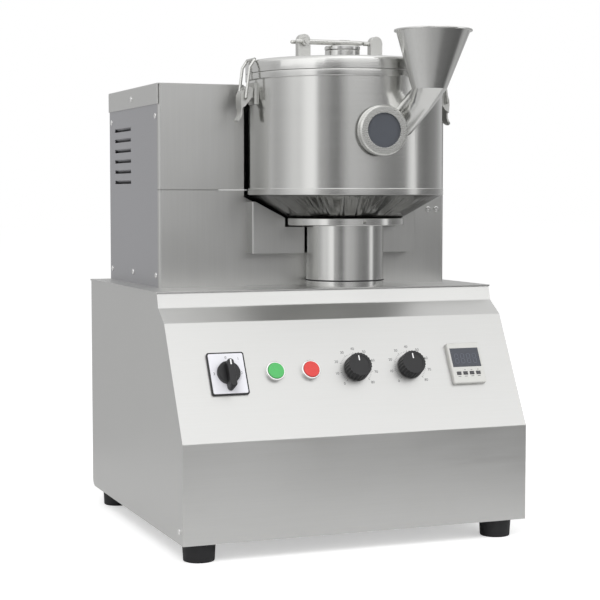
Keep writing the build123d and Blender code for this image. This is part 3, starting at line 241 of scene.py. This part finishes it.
@dataclass(frozen=True)
class Moulded:
    """A moulded plastic or rubber: one body colour with a fine texture from its mould."""

    name: str
    colour: str
    shade: str
    roughness: float
    texture_mm: float = 0.8
    bump: float = 0.05
    coat: float = 0.0

    def make(self) -> bpy.types.Material:
        """Build the material.

        Returns:
            The finished material.
        """
        material, tree, output = new_material(self.name)
        place = add_node(tree, "ShaderNodeTexCoord")
        skin = add_node(
            tree,
            "ShaderNodeTexNoise",
            {"Vector": place.outputs["Object"], "Scale": 1 / (self.texture_mm * MM), "Detail": 4.0},
        )
        tint = add_node(
            tree,
            "ShaderNodeMix",
            {0: skin.outputs[0], 6: linear(self.shade), 7: linear(self.colour)},
            data_type="RGBA",
        )
        rough = add_node(
            tree,
            "ShaderNodeMapRange",
            {"Value": skin.outputs[0], "To Min": self.roughness - 0.08, "To Max": self.roughness + 0.08},
        )
        relief = add_node(
            tree, "ShaderNodeBump", {"Height": skin.outputs[0], "Strength": self.bump, "Distance": 0.0004}
        )
        shader = add_node(
            tree,
            "ShaderNodeBsdfPrincipled",
            {
                "Base Color": tint.outputs[2],
                "Roughness": rough.outputs[0],
                "Coat Weight": self.coat,
                "Normal": relief.outputs[0],
            },
        )
        tree.links.new(shader.outputs[0], output.inputs[0])
        return material


@dataclass(frozen=True)
class SightGlass:
    """Toughened borosilicate glass in front of a dark bowl: smooth, faintly grey, with a sharp reflection."""

    name: str = "toughened_sight_glass"

    def make(self) -> bpy.types.Material:
        """Build the material.

        Returns:
            The finished material.
        """
        material, tree, output = new_material(self.name)
        place = add_node(tree, "ShaderNodeTexCoord")
        haze = add_node(tree, "ShaderNodeTexNoise", {"Vector": place.outputs["Object"], "Scale": 60.0})
        rough = add_node(
            tree, "ShaderNodeMapRange", {"Value": haze.outputs[0], "To Min": 0.02, "To Max": 0.1}
        )
        shader = add_node(
            tree,
            "ShaderNodeBsdfPrincipled",
            {
                "Base Color": linear("#70747C"),
                "Roughness": rough.outputs[0],
                "IOR": 1.47,
                "Transmission Weight": 0.55,
            },
        )
        tree.links.new(shader.outputs[0], output.inputs[0])
        return material


FINISHES = (
    # Cold rolled stainless sheet, brushed by belt: a soft grey sheen with faint upright lines
    Steel("brushed_sheet_upright", "#C9C9C8", "#BBBBB9", 0.36, 0.05, Lay.UPRIGHT),
    Steel("brushed_sheet_across", "#D2D2D1", "#C6C6C4", 0.38, 0.05, Lay.ACROSS),
    # Side sheets have a duller mill finish, cooler and flatter than the front
    Steel("mill_finish_sheet", "#B9B9BC", "#ACACAF", 0.45, 0.05, Lay.UPRIGHT, bump=0.015),
    # Turned and polished steel: fine rings round the axis and sharp reflections
    Steel("polished_turned_steel", "#DEDEDC", "#D0D0CE", 0.17, 0.05, Lay.ROUND, grain_mm=0.9, bump=0.03),
    Steel("satin_turned_steel", "#D4D4D1", "#C6C6C3", 0.27, 0.05, Lay.ROUND, grain_mm=0.9, bump=0.04),
    # The cone under the bowl is even and darker below its polished flange: a painted shade for its shadowed
    # underside
    Steel(
        "cone_steel_painted_shade", "#DADAD8", "#CCCCCA", 0.22, 0.04, Lay.ROUND, grain_mm=0.9, bump=0.03,
        painted_shade_below=0.4593,
    ),
    # Rolled and welded sheet of the funnel and its tube: upright lines and a soft mirror
    Steel("rolled_funnel_steel", "#DCDCDA", "#CDCDCB", 0.2, 0.04, Lay.UPRIGHT, grain_mm=1.2, length_mm=60.0),
    # Cast and blasted fittings: matte, even, slightly mottled
    Steel("blasted_cast_steel", "#D6D6D3", "#C2C2BF", 0.42, 0.06, Lay.NONE, grain_mm=1.2, bump=0.12, patch_mm=20.0),
    Steel("bright_wire_steel", "#D9D9D6", "#C9C9C6", 0.25, 0.05, Lay.NONE, grain_mm=1.5, patch_mm=20.0),
    Steel("bright_chrome", "#EFEFEE", "#E4E4E3", 0.1, 0.03, Lay.NONE, patch_mm=20.0),
    Steel("machined_aluminium", "#CFCFCD", "#BEBEBC", 0.35, 0.06, Lay.NONE, patch_mm=30.0),
    Moulded("moulded_black_rubber", "#17171A", "#0F0F11", 0.62, 1.2, 0.1),
    Moulded("ribbed_belt_rubber", "#1B1B1D", "#111112", 0.7, 1.2, 0.1),
    Moulded("silicone_rubber", "#E4E4DE", "#DADAD4", 0.45, 1.0, 0.03),
    Moulded("moulded_black_plastic", "#1B1B1D", "#121213", 0.42, 0.8, 0.05),
    Moulded("satin_white_plate", "#E9E9EE", "#E1E1E7", 0.35, 1.5, 0.01),
    Moulded("lit_green_lens", "#4DB861", "#43AC58", 0.22, 2.5, 0.02, coat=0.4),
    Moulded("lit_red_lens", "#DB3A34", "#CE2F2B", 0.22, 2.5, 0.02, coat=0.4),
    Moulded("timer_grey_plastic", "#CFCFCB", "#C6C6C2", 0.45, 0.9, 0.04),
    Moulded("smoked_window", "#3A3E48", "#31353E", 0.15, 3.0, 0.01, coat=0.5),
    Moulded("grey_key_plastic", "#4A4A4C", "#3C3C3E", 0.5, 0.8, 0.05),
    Moulded("blue_grey_enamel", "#55606E", "#4B5664", 0.4, 2.0, 0.08),
    Moulded("white_print", "#F2F2F2", "#EAEAEA", 0.5, 1.0, 0.0),
    Moulded("grey_print", "#56585A", "#4D4F51", 0.6, 1.0, 0.0),
    Moulded("unlit_segment", "#565B66", "#4E535E", 0.3, 2.0, 0.0),
    SightGlass(),
)


class Finishes:
    """Every finish of the machine, made once and fetched by name."""

    def __init__(self) -> None:
        """Make all materials."""
        self.made = {finish.name: finish.make() for finish in FINISHES}

    def get(self, name: str) -> bpy.types.Material:
        """The material of that name."""
        return self.made[name]


def smooth_by_angle() -> bpy.types.NodeTree:
    """A modifier tree that shades a mesh smooth and keeps edges sharper than 32 degrees.

    Returns:
        The geometry node tree.
    """
    tree = bpy.data.node_groups.new("smooth_by_angle", "GeometryNodeTree")
    tree.interface.new_socket("Geometry", in_out="INPUT", socket_type="NodeSocketGeometry")
    tree.interface.new_socket("Geometry", in_out="OUTPUT", socket_type="NodeSocketGeometry")
    start = add_node(tree, "NodeGroupInput")
    angle = add_node(tree, "GeometryNodeInputMeshEdgeAngle")
    soft = add_node(
        tree,
        "FunctionNodeCompare",
        {0: angle.outputs[0], 1: math.radians(32)},
        data_type="FLOAT",
        operation="LESS_EQUAL",
    )
    faces = add_node(
        tree, "GeometryNodeSetShadeSmooth", {0: start.outputs[0], "Shade Smooth": True}, domain="FACE"
    )
    edges = add_node(
        tree,
        "GeometryNodeSetShadeSmooth",
        {0: faces.outputs[0], "Shade Smooth": soft.outputs[0]},
        domain="EDGE",
    )
    add_node(tree, "NodeGroupOutput", {0: edges.outputs[0]})
    return tree


@dataclass
class NodeDresser:
    """Gives the model's own solids a finish, soft shading and a broken edge."""

    finishes: Finishes
    shading: bpy.types.NodeTree

    def dress(self, node: str, finish: str, edge_mm: float = 0.3) -> None:
        """Finish one solid.

        Args:
            node: The solid's name.
            finish: The finish to give it.
            edge_mm: Width of the broken edge, or zero for none.
        """
        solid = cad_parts[node]
        solid.data.materials.clear()
        solid.data.materials.append(self.finishes.get(finish))
        weld = solid.modifiers.new("weld", "WELD")
        weld.merge_threshold = 0.00001
        flat = solid.modifiers.new("flat", "DECIMATE")
        flat.decimate_type = "DISSOLVE"
        flat.angle_limit = math.radians(0.4)
        shade = solid.modifiers.new("shade", "NODES")
        shade.node_group = self.shading
        if edge_mm:
            bevel = solid.modifiers.new("edge", "BEVEL")
            bevel.width = edge_mm * MM
            bevel.segments = 2
            bevel.limit_method = "ANGLE"
            bevel.angle_limit = math.radians(40)
            bevel.harden_normals = True
        LOG.info("dressed %s in %s", node, finish)


NODE_FINISHES = {
    "brushed_sheet_upright": "tower_upper_shell tower_lower_shell cradle_cheek_left cradle_cheek_right",
    "brushed_sheet_across": "cabinet_shell top_plate tower_top_cover base_pan rear_panel tower_back_panel",
    "mill_finish_sheet": "tower_side_panel",
    "polished_turned_steel": "pedestal bowl_wall lid port_collar port_cap neck_flange",
    "satin_turned_steel": "sight_ring impeller impeller_cap impeller_shaft "
    "chopper_shaft chopper_blades chopper_housing",
    # the cone's material carries a painted shade below the flange
    "cone_steel_painted_shade": "bowl_base",
    "rolled_funnel_steel": "feed_funnel feed_tube",
    "blasted_cast_steel": "lid_lugs latch_bases latch_lever_left latch_lever_right",
    "bright_wire_steel": "latch_loop_left latch_loop_right cap_bail",
    "bright_chrome": "button_bezels foot_bolts panel_screws spindle_bearings",
    "moulded_black_rubber": "feet pedestal_seal",
    "ribbed_belt_rubber": "drive_belt",
    "silicone_rubber": "lid_gasket",
    "moulded_black_plastic": "switch_frame switch_knob mixing_speed_knob chopper_speed_knob",
    "lit_green_lens": "start_button",
    "lit_red_lens": "stop_button",
    "timer_grey_plastic": "timer_case",
    "smoked_window": "timer_window",
    "grey_key_plastic": "timer_key_1 timer_key_2 timer_key_3 timer_key_4",
    "toughened_sight_glass": "sight_glass",
    "blue_grey_enamel": "main_motor chopper_motor",
    "machined_aluminium": "motor_pulley driven_pulley spindle_housing",
}


def link_piece(name: str, mesh: bpy.types.Mesh, material: bpy.types.Material, body: str) -> bpy.types.Object:
    """Put a finished mesh in the scene on its body.

    Args:
        name: Name of the piece.
        mesh: Its mesh, already in place in the row frame.
        material: Its finish.
        body: The body that it rides on.

    Returns:
        The new object.
    """
    mesh.materials.clear()
    mesh.materials.append(material)
    piece = bpy.data.objects.new(name, mesh)
    bpy.context.scene.collection.objects.link(piece)
    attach(piece, body)
    LOG.info("made %s on %s, %d faces", name, body, len(mesh.polygons))
    return piece


def close_mesh(name: str, build: bmesh.types.BMesh, place: Matrix | None = None) -> bpy.types.Mesh:
    """Merge, orient and store a mesh that bmesh operators have shaped.

    Args:
        name: The mesh's name.
        build: The working mesh, which is freed.
        place: Where it goes in the row frame.

    Returns:
        The stored mesh, shaded smooth.
    """
    bmesh.ops.remove_doubles(build, verts=build.verts, dist=0.000002)
    bmesh.ops.recalc_face_normals(build, faces=build.faces)
    if place is not None:
        bmesh.ops.transform(build, matrix=place, verts=build.verts)
    for face in build.faces:
        face.smooth = True
    mesh = bpy.data.meshes.new(name)
    build.to_mesh(mesh)
    build.free()
    return mesh


def panel_place(across: float, up: float, out: float, turn: float = 0.0) -> Matrix:
    """A place on the sloping panel, in millimetres, as a matrix from its own plane to the row frame.

    Args:
        across: Distance right of the middle.
        up: Distance up the slope from its lower bend.
        out: Distance out of the sheet.
        turn: Turn about the panel's normal in degrees.

    Returns:
        The matrix, whose Z is the panel's normal.
    """
    rise = Vector((0.0, math.sin(PANEL_LEAN), math.cos(PANEL_LEAN)))
    normal = Vector((0.0, -math.cos(PANEL_LEAN), math.sin(PANEL_LEAN)))
    origin = Vector(PANEL_FOOT) + Vector((across * MM, 0.0, 0.0)) + rise * (up * MM) + normal * (out * MM)
    basis = Matrix((Vector((1.0, 0.0, 0.0)), rise, normal)).transposed().to_4x4()
    return Matrix.Translation(origin) @ basis @ Matrix.Rotation(math.radians(turn), 4, "Z")


@dataclass
class Print:
    """Marks printed on a flat face: thin raised ink, built in millimetres on the face's own plane."""

    name: str
    thick_mm: float = 0.06
    build: bmesh.types.BMesh = field(default_factory=bmesh.new)

    def bar(self, x: float, y: float, width: float, height: float, turn: float = 0.0) -> None:
        """Add a bar of ink.

        Args:
            x: Middle of the bar across.
            y: Middle of the bar up.
            width: Size across.
            height: Size up.
            turn: Turn in degrees about the origin, applied last.
        """
        shape = (
            Matrix.Rotation(math.radians(turn), 4, "Z")
            @ Matrix.Translation((x, y, self.thick_mm / 2))
            @ Matrix.Diagonal((width, height, self.thick_mm, 1.0))
        )
        bmesh.ops.create_cube(self.build, size=1.0, matrix=shape)

    def number(self, text: str, x: float, y: float, size: float) -> None:
        """Add a plain number, centred on a point.

        Args:
            text: The digits.
            x: Middle across.
            y: Middle up.
            size: Height of the type.
        """
        curve = bpy.data.curves.new("digits", "FONT")
        curve.body = text
        curve.size = size
        curve.align_x = "CENTER"
        curve.align_y = "CENTER"
        curve.extrude = self.thick_mm / 2
        carrier = bpy.data.objects.new("digits", curve)
        bpy.context.scene.collection.objects.link(carrier)
        bpy.context.view_layer.update()
        mesh = bpy.data.meshes.new_from_object(carrier.evaluated_get(bpy.context.evaluated_depsgraph_get()))
        mesh.transform(Matrix.Translation((x, y, self.thick_mm / 2)))
        self.build.from_mesh(mesh)
        bpy.data.objects.remove(carrier)
        bpy.data.curves.remove(curve)
        bpy.data.meshes.remove(mesh)

    def finish(self, place: Matrix, material: bpy.types.Material, body: str) -> bpy.types.Object:
        """Place the print in the row frame.

        Args:
            place: The matrix of its plane.
            material: The ink.
            body: The body that it rides on.

        Returns:
            The printed piece.
        """
        mesh = close_mesh(self.name, self.build, place @ Matrix.Scale(MM, 4))
        for face in mesh.polygons:
            face.use_smooth = False
        return link_piece(self.name, mesh, material, body)


@dataclass
class ControlPanel:
    """Everything that the sloping panel carries besides the model's own solids, in millimetres."""

    finishes: Finishes
    row: float = 91.0
    switch_across: float = -167.0
    mixing_across: float = 10.6
    chopping_across: float = 88.0
    timer_across: float = 169.6
    knob_radius: float = 17.3
    knob_top: float = 16.5
    dial_numbers: tuple[str, ...] = ("0", "10", "20", "30", "40", "50", "60", "70", "80")
    dial_sweep: float = 270.0

    def dial(self, name: str, across: float) -> None:
        """Print a scale with plain numbers round a knob.

        Args:
            name: Name of the print.
            across: The knob's place on the panel.
        """
        scale = Print(name)
        steps = (len(self.dial_numbers) - 1) * 5
        for step in range(steps + 1):
            turn = self.dial_sweep / 2 - step * self.dial_sweep / steps
            long = step % 5 == 0
            scale.bar(0.0, 21.8 if long else 21.2, 0.5 if long else 0.35, 2.8 if long else 1.6, turn)
        for number, text in enumerate(self.dial_numbers):
            turn = math.radians(self.dial_sweep * (number / (len(self.dial_numbers) - 1) - 0.5))
            scale.number(text, 28.2 * math.sin(turn), 28.2 * math.cos(turn), 5.2)
        scale.finish(panel_place(across, self.row, 0.02), self.finishes.get("grey_print"), "machine")

    def pointer(self, name: str, across: float, body: str) -> None:
        """A white line on the top of a speed knob.

        Args:
            name: Name of the piece.
            across: The knob's place on the panel.
            body: The knob's body.
        """
        line = Print(name, thick_mm=0.5)
        line.bar(0.0, 9.5, 1.5, 8.0)
        line.finish(panel_place(across, self.row, self.knob_top - 0.9), self.finishes.get("white_print"), body)

    def switch(self) -> None:
        """The cam switch's white plate with its position numbers and the line on its grip."""
        build = bmesh.new()
        bmesh.ops.create_grid(build, x_segments=1, y_segments=1, size=0.5)
        bmesh.ops.scale(build, vec=(46.4, 54.4, 1.0), verts=build.verts)
        bmesh.ops.bevel(
            build, geom=build.verts, offset=2.0, segments=4, profile=0.5, affect="VERTICES", material=-1
        )
        top = bmesh.ops.extrude_face_region(build, geom=build.faces[:])["geom"]
        raised = [item for item in top if isinstance(item, bmesh.types.BMVert)]
        bmesh.ops.translate(build, verts=raised, vec=(0.0, 0.0, 0.5))
        inner = bmesh.ops.create_circle(build, cap_ends=False, segments=48, radius=5.2)
        bmesh.ops.delete(build, geom=inner["verts"], context="VERTS")
        place = panel_place(self.switch_across, self.row, 2.45)
        mesh = close_mesh("switch_plate", build, place @ Matrix.Scale(MM, 4))
        for face in mesh.polygons:
            face.use_smooth = False
        plate = link_piece("switch_plate", mesh, self.finishes.get("satin_white_plate"), "machine")
        marks = Print("switch_marks")
        for text, x, y in (("0", 0.0, 21.5), ("1", 16.5, 19.5), ("2", 18.5, 0.0), ("3", -18.5, 0.0)):
            marks.number(text, x, y, 5.0)
        marks.finish(
            panel_place(self.switch_across, self.row, 2.97), self.finishes.get("grey_print"), "machine"
        )
        line = Print("switch_pointer", thick_mm=0.4)
        line.bar(0.0, 9.0, 1.8, 7.0)
        line.finish(
            panel_place(self.switch_across, self.row, 20.2), self.finishes.get("white_print"), "switch_knob"
        )

    def display(self) -> None:
        """Unlit digits behind the timer's window and plain marks under its keys."""
        digits = Print("timer_digits", thick_mm=0.05)
        for number in range(4):
            x = -13.2 + number * 8.8
            for side in (-2.4, 2.4):
                for level in (-3.4, 3.4):
                    digits.bar(x + side, 6.0 + level, 0.9, 5.4)
            for level in (-6.6, 0.0, 6.6):
                digits.bar(x, 6.0 + level, 3.8, 0.9)
        place = panel_place(self.timer_across, self.row, 6.02)
        digits.finish(place, self.finishes.get("unlit_segment"), "machine")
        marks = Print("timer_marks")
        for number in range(4):
            marks.bar(-14.4 + number * 9.6, -19.6, 4.2, 0.7)
            if number:
                marks.bar(-14.4 + number * 9.6, -10.4, 2.2, 0.7)
        marks.finish(panel_place(self.timer_across, self.row, 6.01), self.finishes.get("grey_print"), "machine")

    def build(self) -> None:
        """Make every piece of the panel."""
        self.dial("mixing_scale", self.mixing_across)
        self.dial("chopper_scale", self.chopping_across)
        self.pointer("mixing_pointer", self.mixing_across, "mixing_speed_knob")
        self.pointer("chopper_pointer", self.chopping_across, "chopper_speed_knob")
        self.switch()
        self.display()


@dataclass
class Studio:
    """Camera, floor, lamps and the light tent that polished steel shows."""

    tent_radius: float = 3.6
    tent_height: float = 2.6
    skirt_radius: float = 0.75
    band_height: float = 1.15
    high_tones: tuple[tuple[float, float], ...] = (
        (-180, 0.6), (-110, 0.7), (-60, 1.3), (0, 1.6), (60, 1.7), (90, 1.4), (120, 0.6), (179, 0.6),
    )
    roof_tones: tuple[tuple[float, float], ...] = (
        (-180, 0.8), (-60, 1.0), (20, 1.6), (38, 1.5), (54, 1.15), (75, 1.25), (110, 1.0), (179, 0.8),
    )
    wall_tones: tuple[tuple[float, float], ...] = (
        (-180, 0.55), (-150, 0.6), (-125, 0.6), (-108, 0.62), (-97, 0.6), (-86, 0.47), (-77, 0.53), (-68, 0.7),
        (-60, 0.82), (-52, 0.77), (-44, 1.05), (-33, 1.15), (-29, 0.45), (-22, 0.41), (-14, 0.24), (-7, 0.18),
        (0, 0.42), (7, 0.6), (21, 0.55), (29, 0.5), (43, 0.32), (59, 0.24), (74, 0.3), (82, 0.95), (88, 1.1),
        (93, 0.26), (107, 0.2), (130, 0.3), (150, 0.5), (179, 0.5),
    )
    skirt_tones: tuple[tuple[float, float], ...] = (
        (-180, 0.6), (-100, 0.6), (-60, 0.7), (-20, 0.62), (0, 0.5), (25, 0.4), (40, 0.2), (95, 0.12),
        (110, 0.5), (179, 0.6),
    )
    camera_place: tuple[float, float, float] = (BOWL_X - 0.85806, BOWL_Y - 2.02881, 0.45964)
    yaw: float = 21.324
    pitch: float = 3.78
    lens: float = 95.72

    def camera(self) -> None:
        """Put the camera where the photograph was taken from."""
        data = bpy.data.cameras.new("camera")
        data.lens = self.lens
        data.sensor_width = 36.0
        data.clip_end = 50.0
        camera = bpy.data.objects.new("camera", data)
        camera.location = self.camera_place
        camera.rotation_euler = (math.radians(90 - self.pitch), 0.0, math.radians(-self.yaw))
        bpy.context.scene.collection.objects.link(camera)
        bpy.context.scene.camera = camera

    def lamp(self, name: str, place: tuple[float, float, float], size: float, power: float) -> None:
        """Add a soft area lamp that faces the machine.

        Args:
            name: The lamp's name.
            place: Where it stands, in metres.
            size: Edge length of the lamp.
            power: Its power in watts.
        """
        data = bpy.data.lights.new(name, "AREA")
        data.shape = "SQUARE"
        data.size = size
        data.energy = power
        lamp = bpy.data.objects.new(name, data)
        lamp.location = place
        toward = Vector((0.0, 0.0, 0.35)) - Vector(place)
        lamp.rotation_euler = toward.to_track_quat("-Z", "Y").to_euler()
        lamp.visible_glossy = False
        bpy.context.scene.collection.objects.link(lamp)

    def world(self) -> None:
        """A pale world: white where it is seen or mirrored, softer where it lights."""
        world = bpy.data.worlds.new("pale_world")
        world.use_nodes = True
        tree = world.node_tree
        tree.nodes.clear()
        path = add_node(tree, "ShaderNodeLightPath")
        seen = add_node(
            tree, "ShaderNodeMath", {0: path.outputs["Is Camera Ray"], 1: path.outputs["Is Glossy Ray"]},
            operation="MAXIMUM",
        )
        seen = add_node(
            tree, "ShaderNodeMath", {0: seen.outputs[0], 1: path.outputs["Is Transmission Ray"]},
            operation="MAXIMUM",
        )
        level = add_node(
            tree, "ShaderNodeMapRange", {"Value": seen.outputs[0], "To Min": 0.62, "To Max": 1.0}
        )
        shine = add_node(tree, "ShaderNodeBackground", {"Color": (1, 1, 1, 1), "Strength": level.outputs[0]})
        add_node(tree, "ShaderNodeOutputWorld", {0: shine.outputs[0]})
        bpy.context.scene.world = world

    def floor(self) -> bpy.types.Object:
        """A plain white floor that keeps the machine's shadow.

        Returns:
            The floor.
        """
        material, tree, output = new_material("white_floor")
        path = add_node(tree, "ShaderNodeLightPath")
        matt = add_node(tree, "ShaderNodeBsdfDiffuse", {"Color": linear("#F2F2F2")})
        lift = add_node(
            tree, "ShaderNodeMath", {0: path.outputs["Is Camera Ray"], 1: 0.45}, operation="MULTIPLY"
        )
        glow = add_node(tree, "ShaderNodeEmission", {"Color": (1, 1, 1, 1), "Strength": lift.outputs[0]})
        total = add_node(tree, "ShaderNodeAddShader", {0: matt.outputs[0], 1: glow.outputs[0]})
        tree.links.new(total.outputs[0], output.inputs[0])
        mesh = bpy.data.meshes.new("floor")
        build = bmesh.new()
        bmesh.ops.create_grid(build, x_segments=4, y_segments=4, size=20.0)
        build.to_mesh(mesh)
        build.free()
        mesh.materials.append(material)
        floor = bpy.data.objects.new("floor", mesh)
        bpy.context.scene.collection.objects.link(floor)
        return floor

    def cloth(self, name: str, mesh: bpy.types.Mesh, tones: tuple[tuple[float, float], ...]) -> None:
        """Hang a grey and white cloth that only mirrors and polished steel show.

        Args:
            name: The cloth's name.
            mesh: Its shape.
            tones: Its brightness by the angle right of the camera, in degrees.
        """
        material, tree, output = new_material(f"{name}_cloth")
        place = add_node(tree, "ShaderNodeTexCoord")
        toward = math.atan2(self.camera_place[1] - BOWL_Y, self.camera_place[0] - BOWL_X)
        turned = add_node(
            tree,
            "ShaderNodeMapping",
            {"Vector": place.outputs["Object"], "Rotation": (0.0, 0.0, -toward)},
        )
        round_about = add_node(
            tree, "ShaderNodeTexGradient", {"Vector": turned.outputs[0]}, gradient_type="RADIAL"
        )
        ramp = add_node(tree, "ShaderNodeValToRGB", {0: round_about.outputs["Fac"]})
        stops = ramp.color_ramp.elements
        while len(stops) > 1:
            stops.remove(stops[-1])
        for number, (turn, tone) in enumerate(tones):
            at = 0.5 + turn / 360
            stop = stops[0] if number == 0 else stops.new(at)
            stop.position = at
            stop.color = (tone, tone, tone, 1.0)
        glow = add_node(tree, "ShaderNodeEmission", {"Color": ramp.outputs[0], "Strength": 1.0})
        tree.links.new(glow.outputs[0], output.inputs[0])
        mesh.materials.append(material)
        cloth = bpy.data.objects.new(name, mesh)
        bpy.context.scene.collection.objects.link(cloth)
        cloth.visible_camera = False
        cloth.visible_diffuse = False
        cloth.visible_shadow = False
        cloth.visible_transmission = False

    def ring(self, name: str, inner: float, outer: float, low: float, high: float) -> bpy.types.Mesh:
        """A band between two circles round the machine.

        Args:
            name: The mesh's name.
            inner: Radius of its first circle.
            outer: Radius of its second circle.
            low: Height of its first circle.
            high: Height of its second circle.

        Returns:
            The mesh.
        """
        build = bmesh.new()
        first = bmesh.ops.create_circle(build, segments=96, radius=inner, matrix=Matrix.Translation((0, 0, low)))
        second = bmesh.ops.create_circle(build, segments=96, radius=outer, matrix=Matrix.Translation((0, 0, high)))
        edges = [edge for vert in first["verts"] + second["verts"] for edge in vert.link_edges]
        bmesh.ops.bridge_loops(build, edges=list(set(edges)))
        mesh = bpy.data.meshes.new(name)
        build.to_mesh(mesh)
        build.free()
        return mesh

    def tent(self) -> None:
        """Hang the wall, the roof and the skirt of the light tent."""
        top = self.tent_height
        wall = self.ring("tent_wall", self.tent_radius, self.tent_radius, 0.0, self.band_height)
        self.cloth("tent_wall", wall, self.wall_tones)
        band = self.ring("tent_band", self.tent_radius, self.tent_radius, self.band_height, top)
        self.cloth("tent_band", band, self.high_tones)
        roof = self.ring("tent_roof", 0.01, self.tent_radius, top, top)
        self.cloth("tent_roof", roof, self.roof_tones)
        skirt = self.ring("tent_skirt", self.skirt_radius, self.tent_radius, 0.004, 0.004)
        self.cloth("tent_skirt", skirt, self.skirt_tones)

    def build(self) -> None:
        """Set everything up."""
        self.camera()
        self.world()
        self.floor()
        self.tent()
        self.lamp("key_lamp", (-1.6, -2.4, 2.6), 1.8, 55.0)
        self.lamp("fill_lamp", (2.2, -1.8, 1.8), 1.8, 25.0)
        bpy.context.scene.view_settings.view_transform = "Standard"
        LOG.info("studio ready")


def main() -> None:
    """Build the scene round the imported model."""
    logging.basicConfig(level=logging.INFO, format="%(message)s")
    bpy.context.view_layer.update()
    finishes = Finishes()
    Studio().build()
    dresser = NodeDresser(finishes, smooth_by_angle())
    for finish, nodes in NODE_FINISHES.items():
        for node in nodes.split():
            dresser.dress(node, finish)
    ControlPanel(finishes).build()


if __name__ == "__main__":
    main()
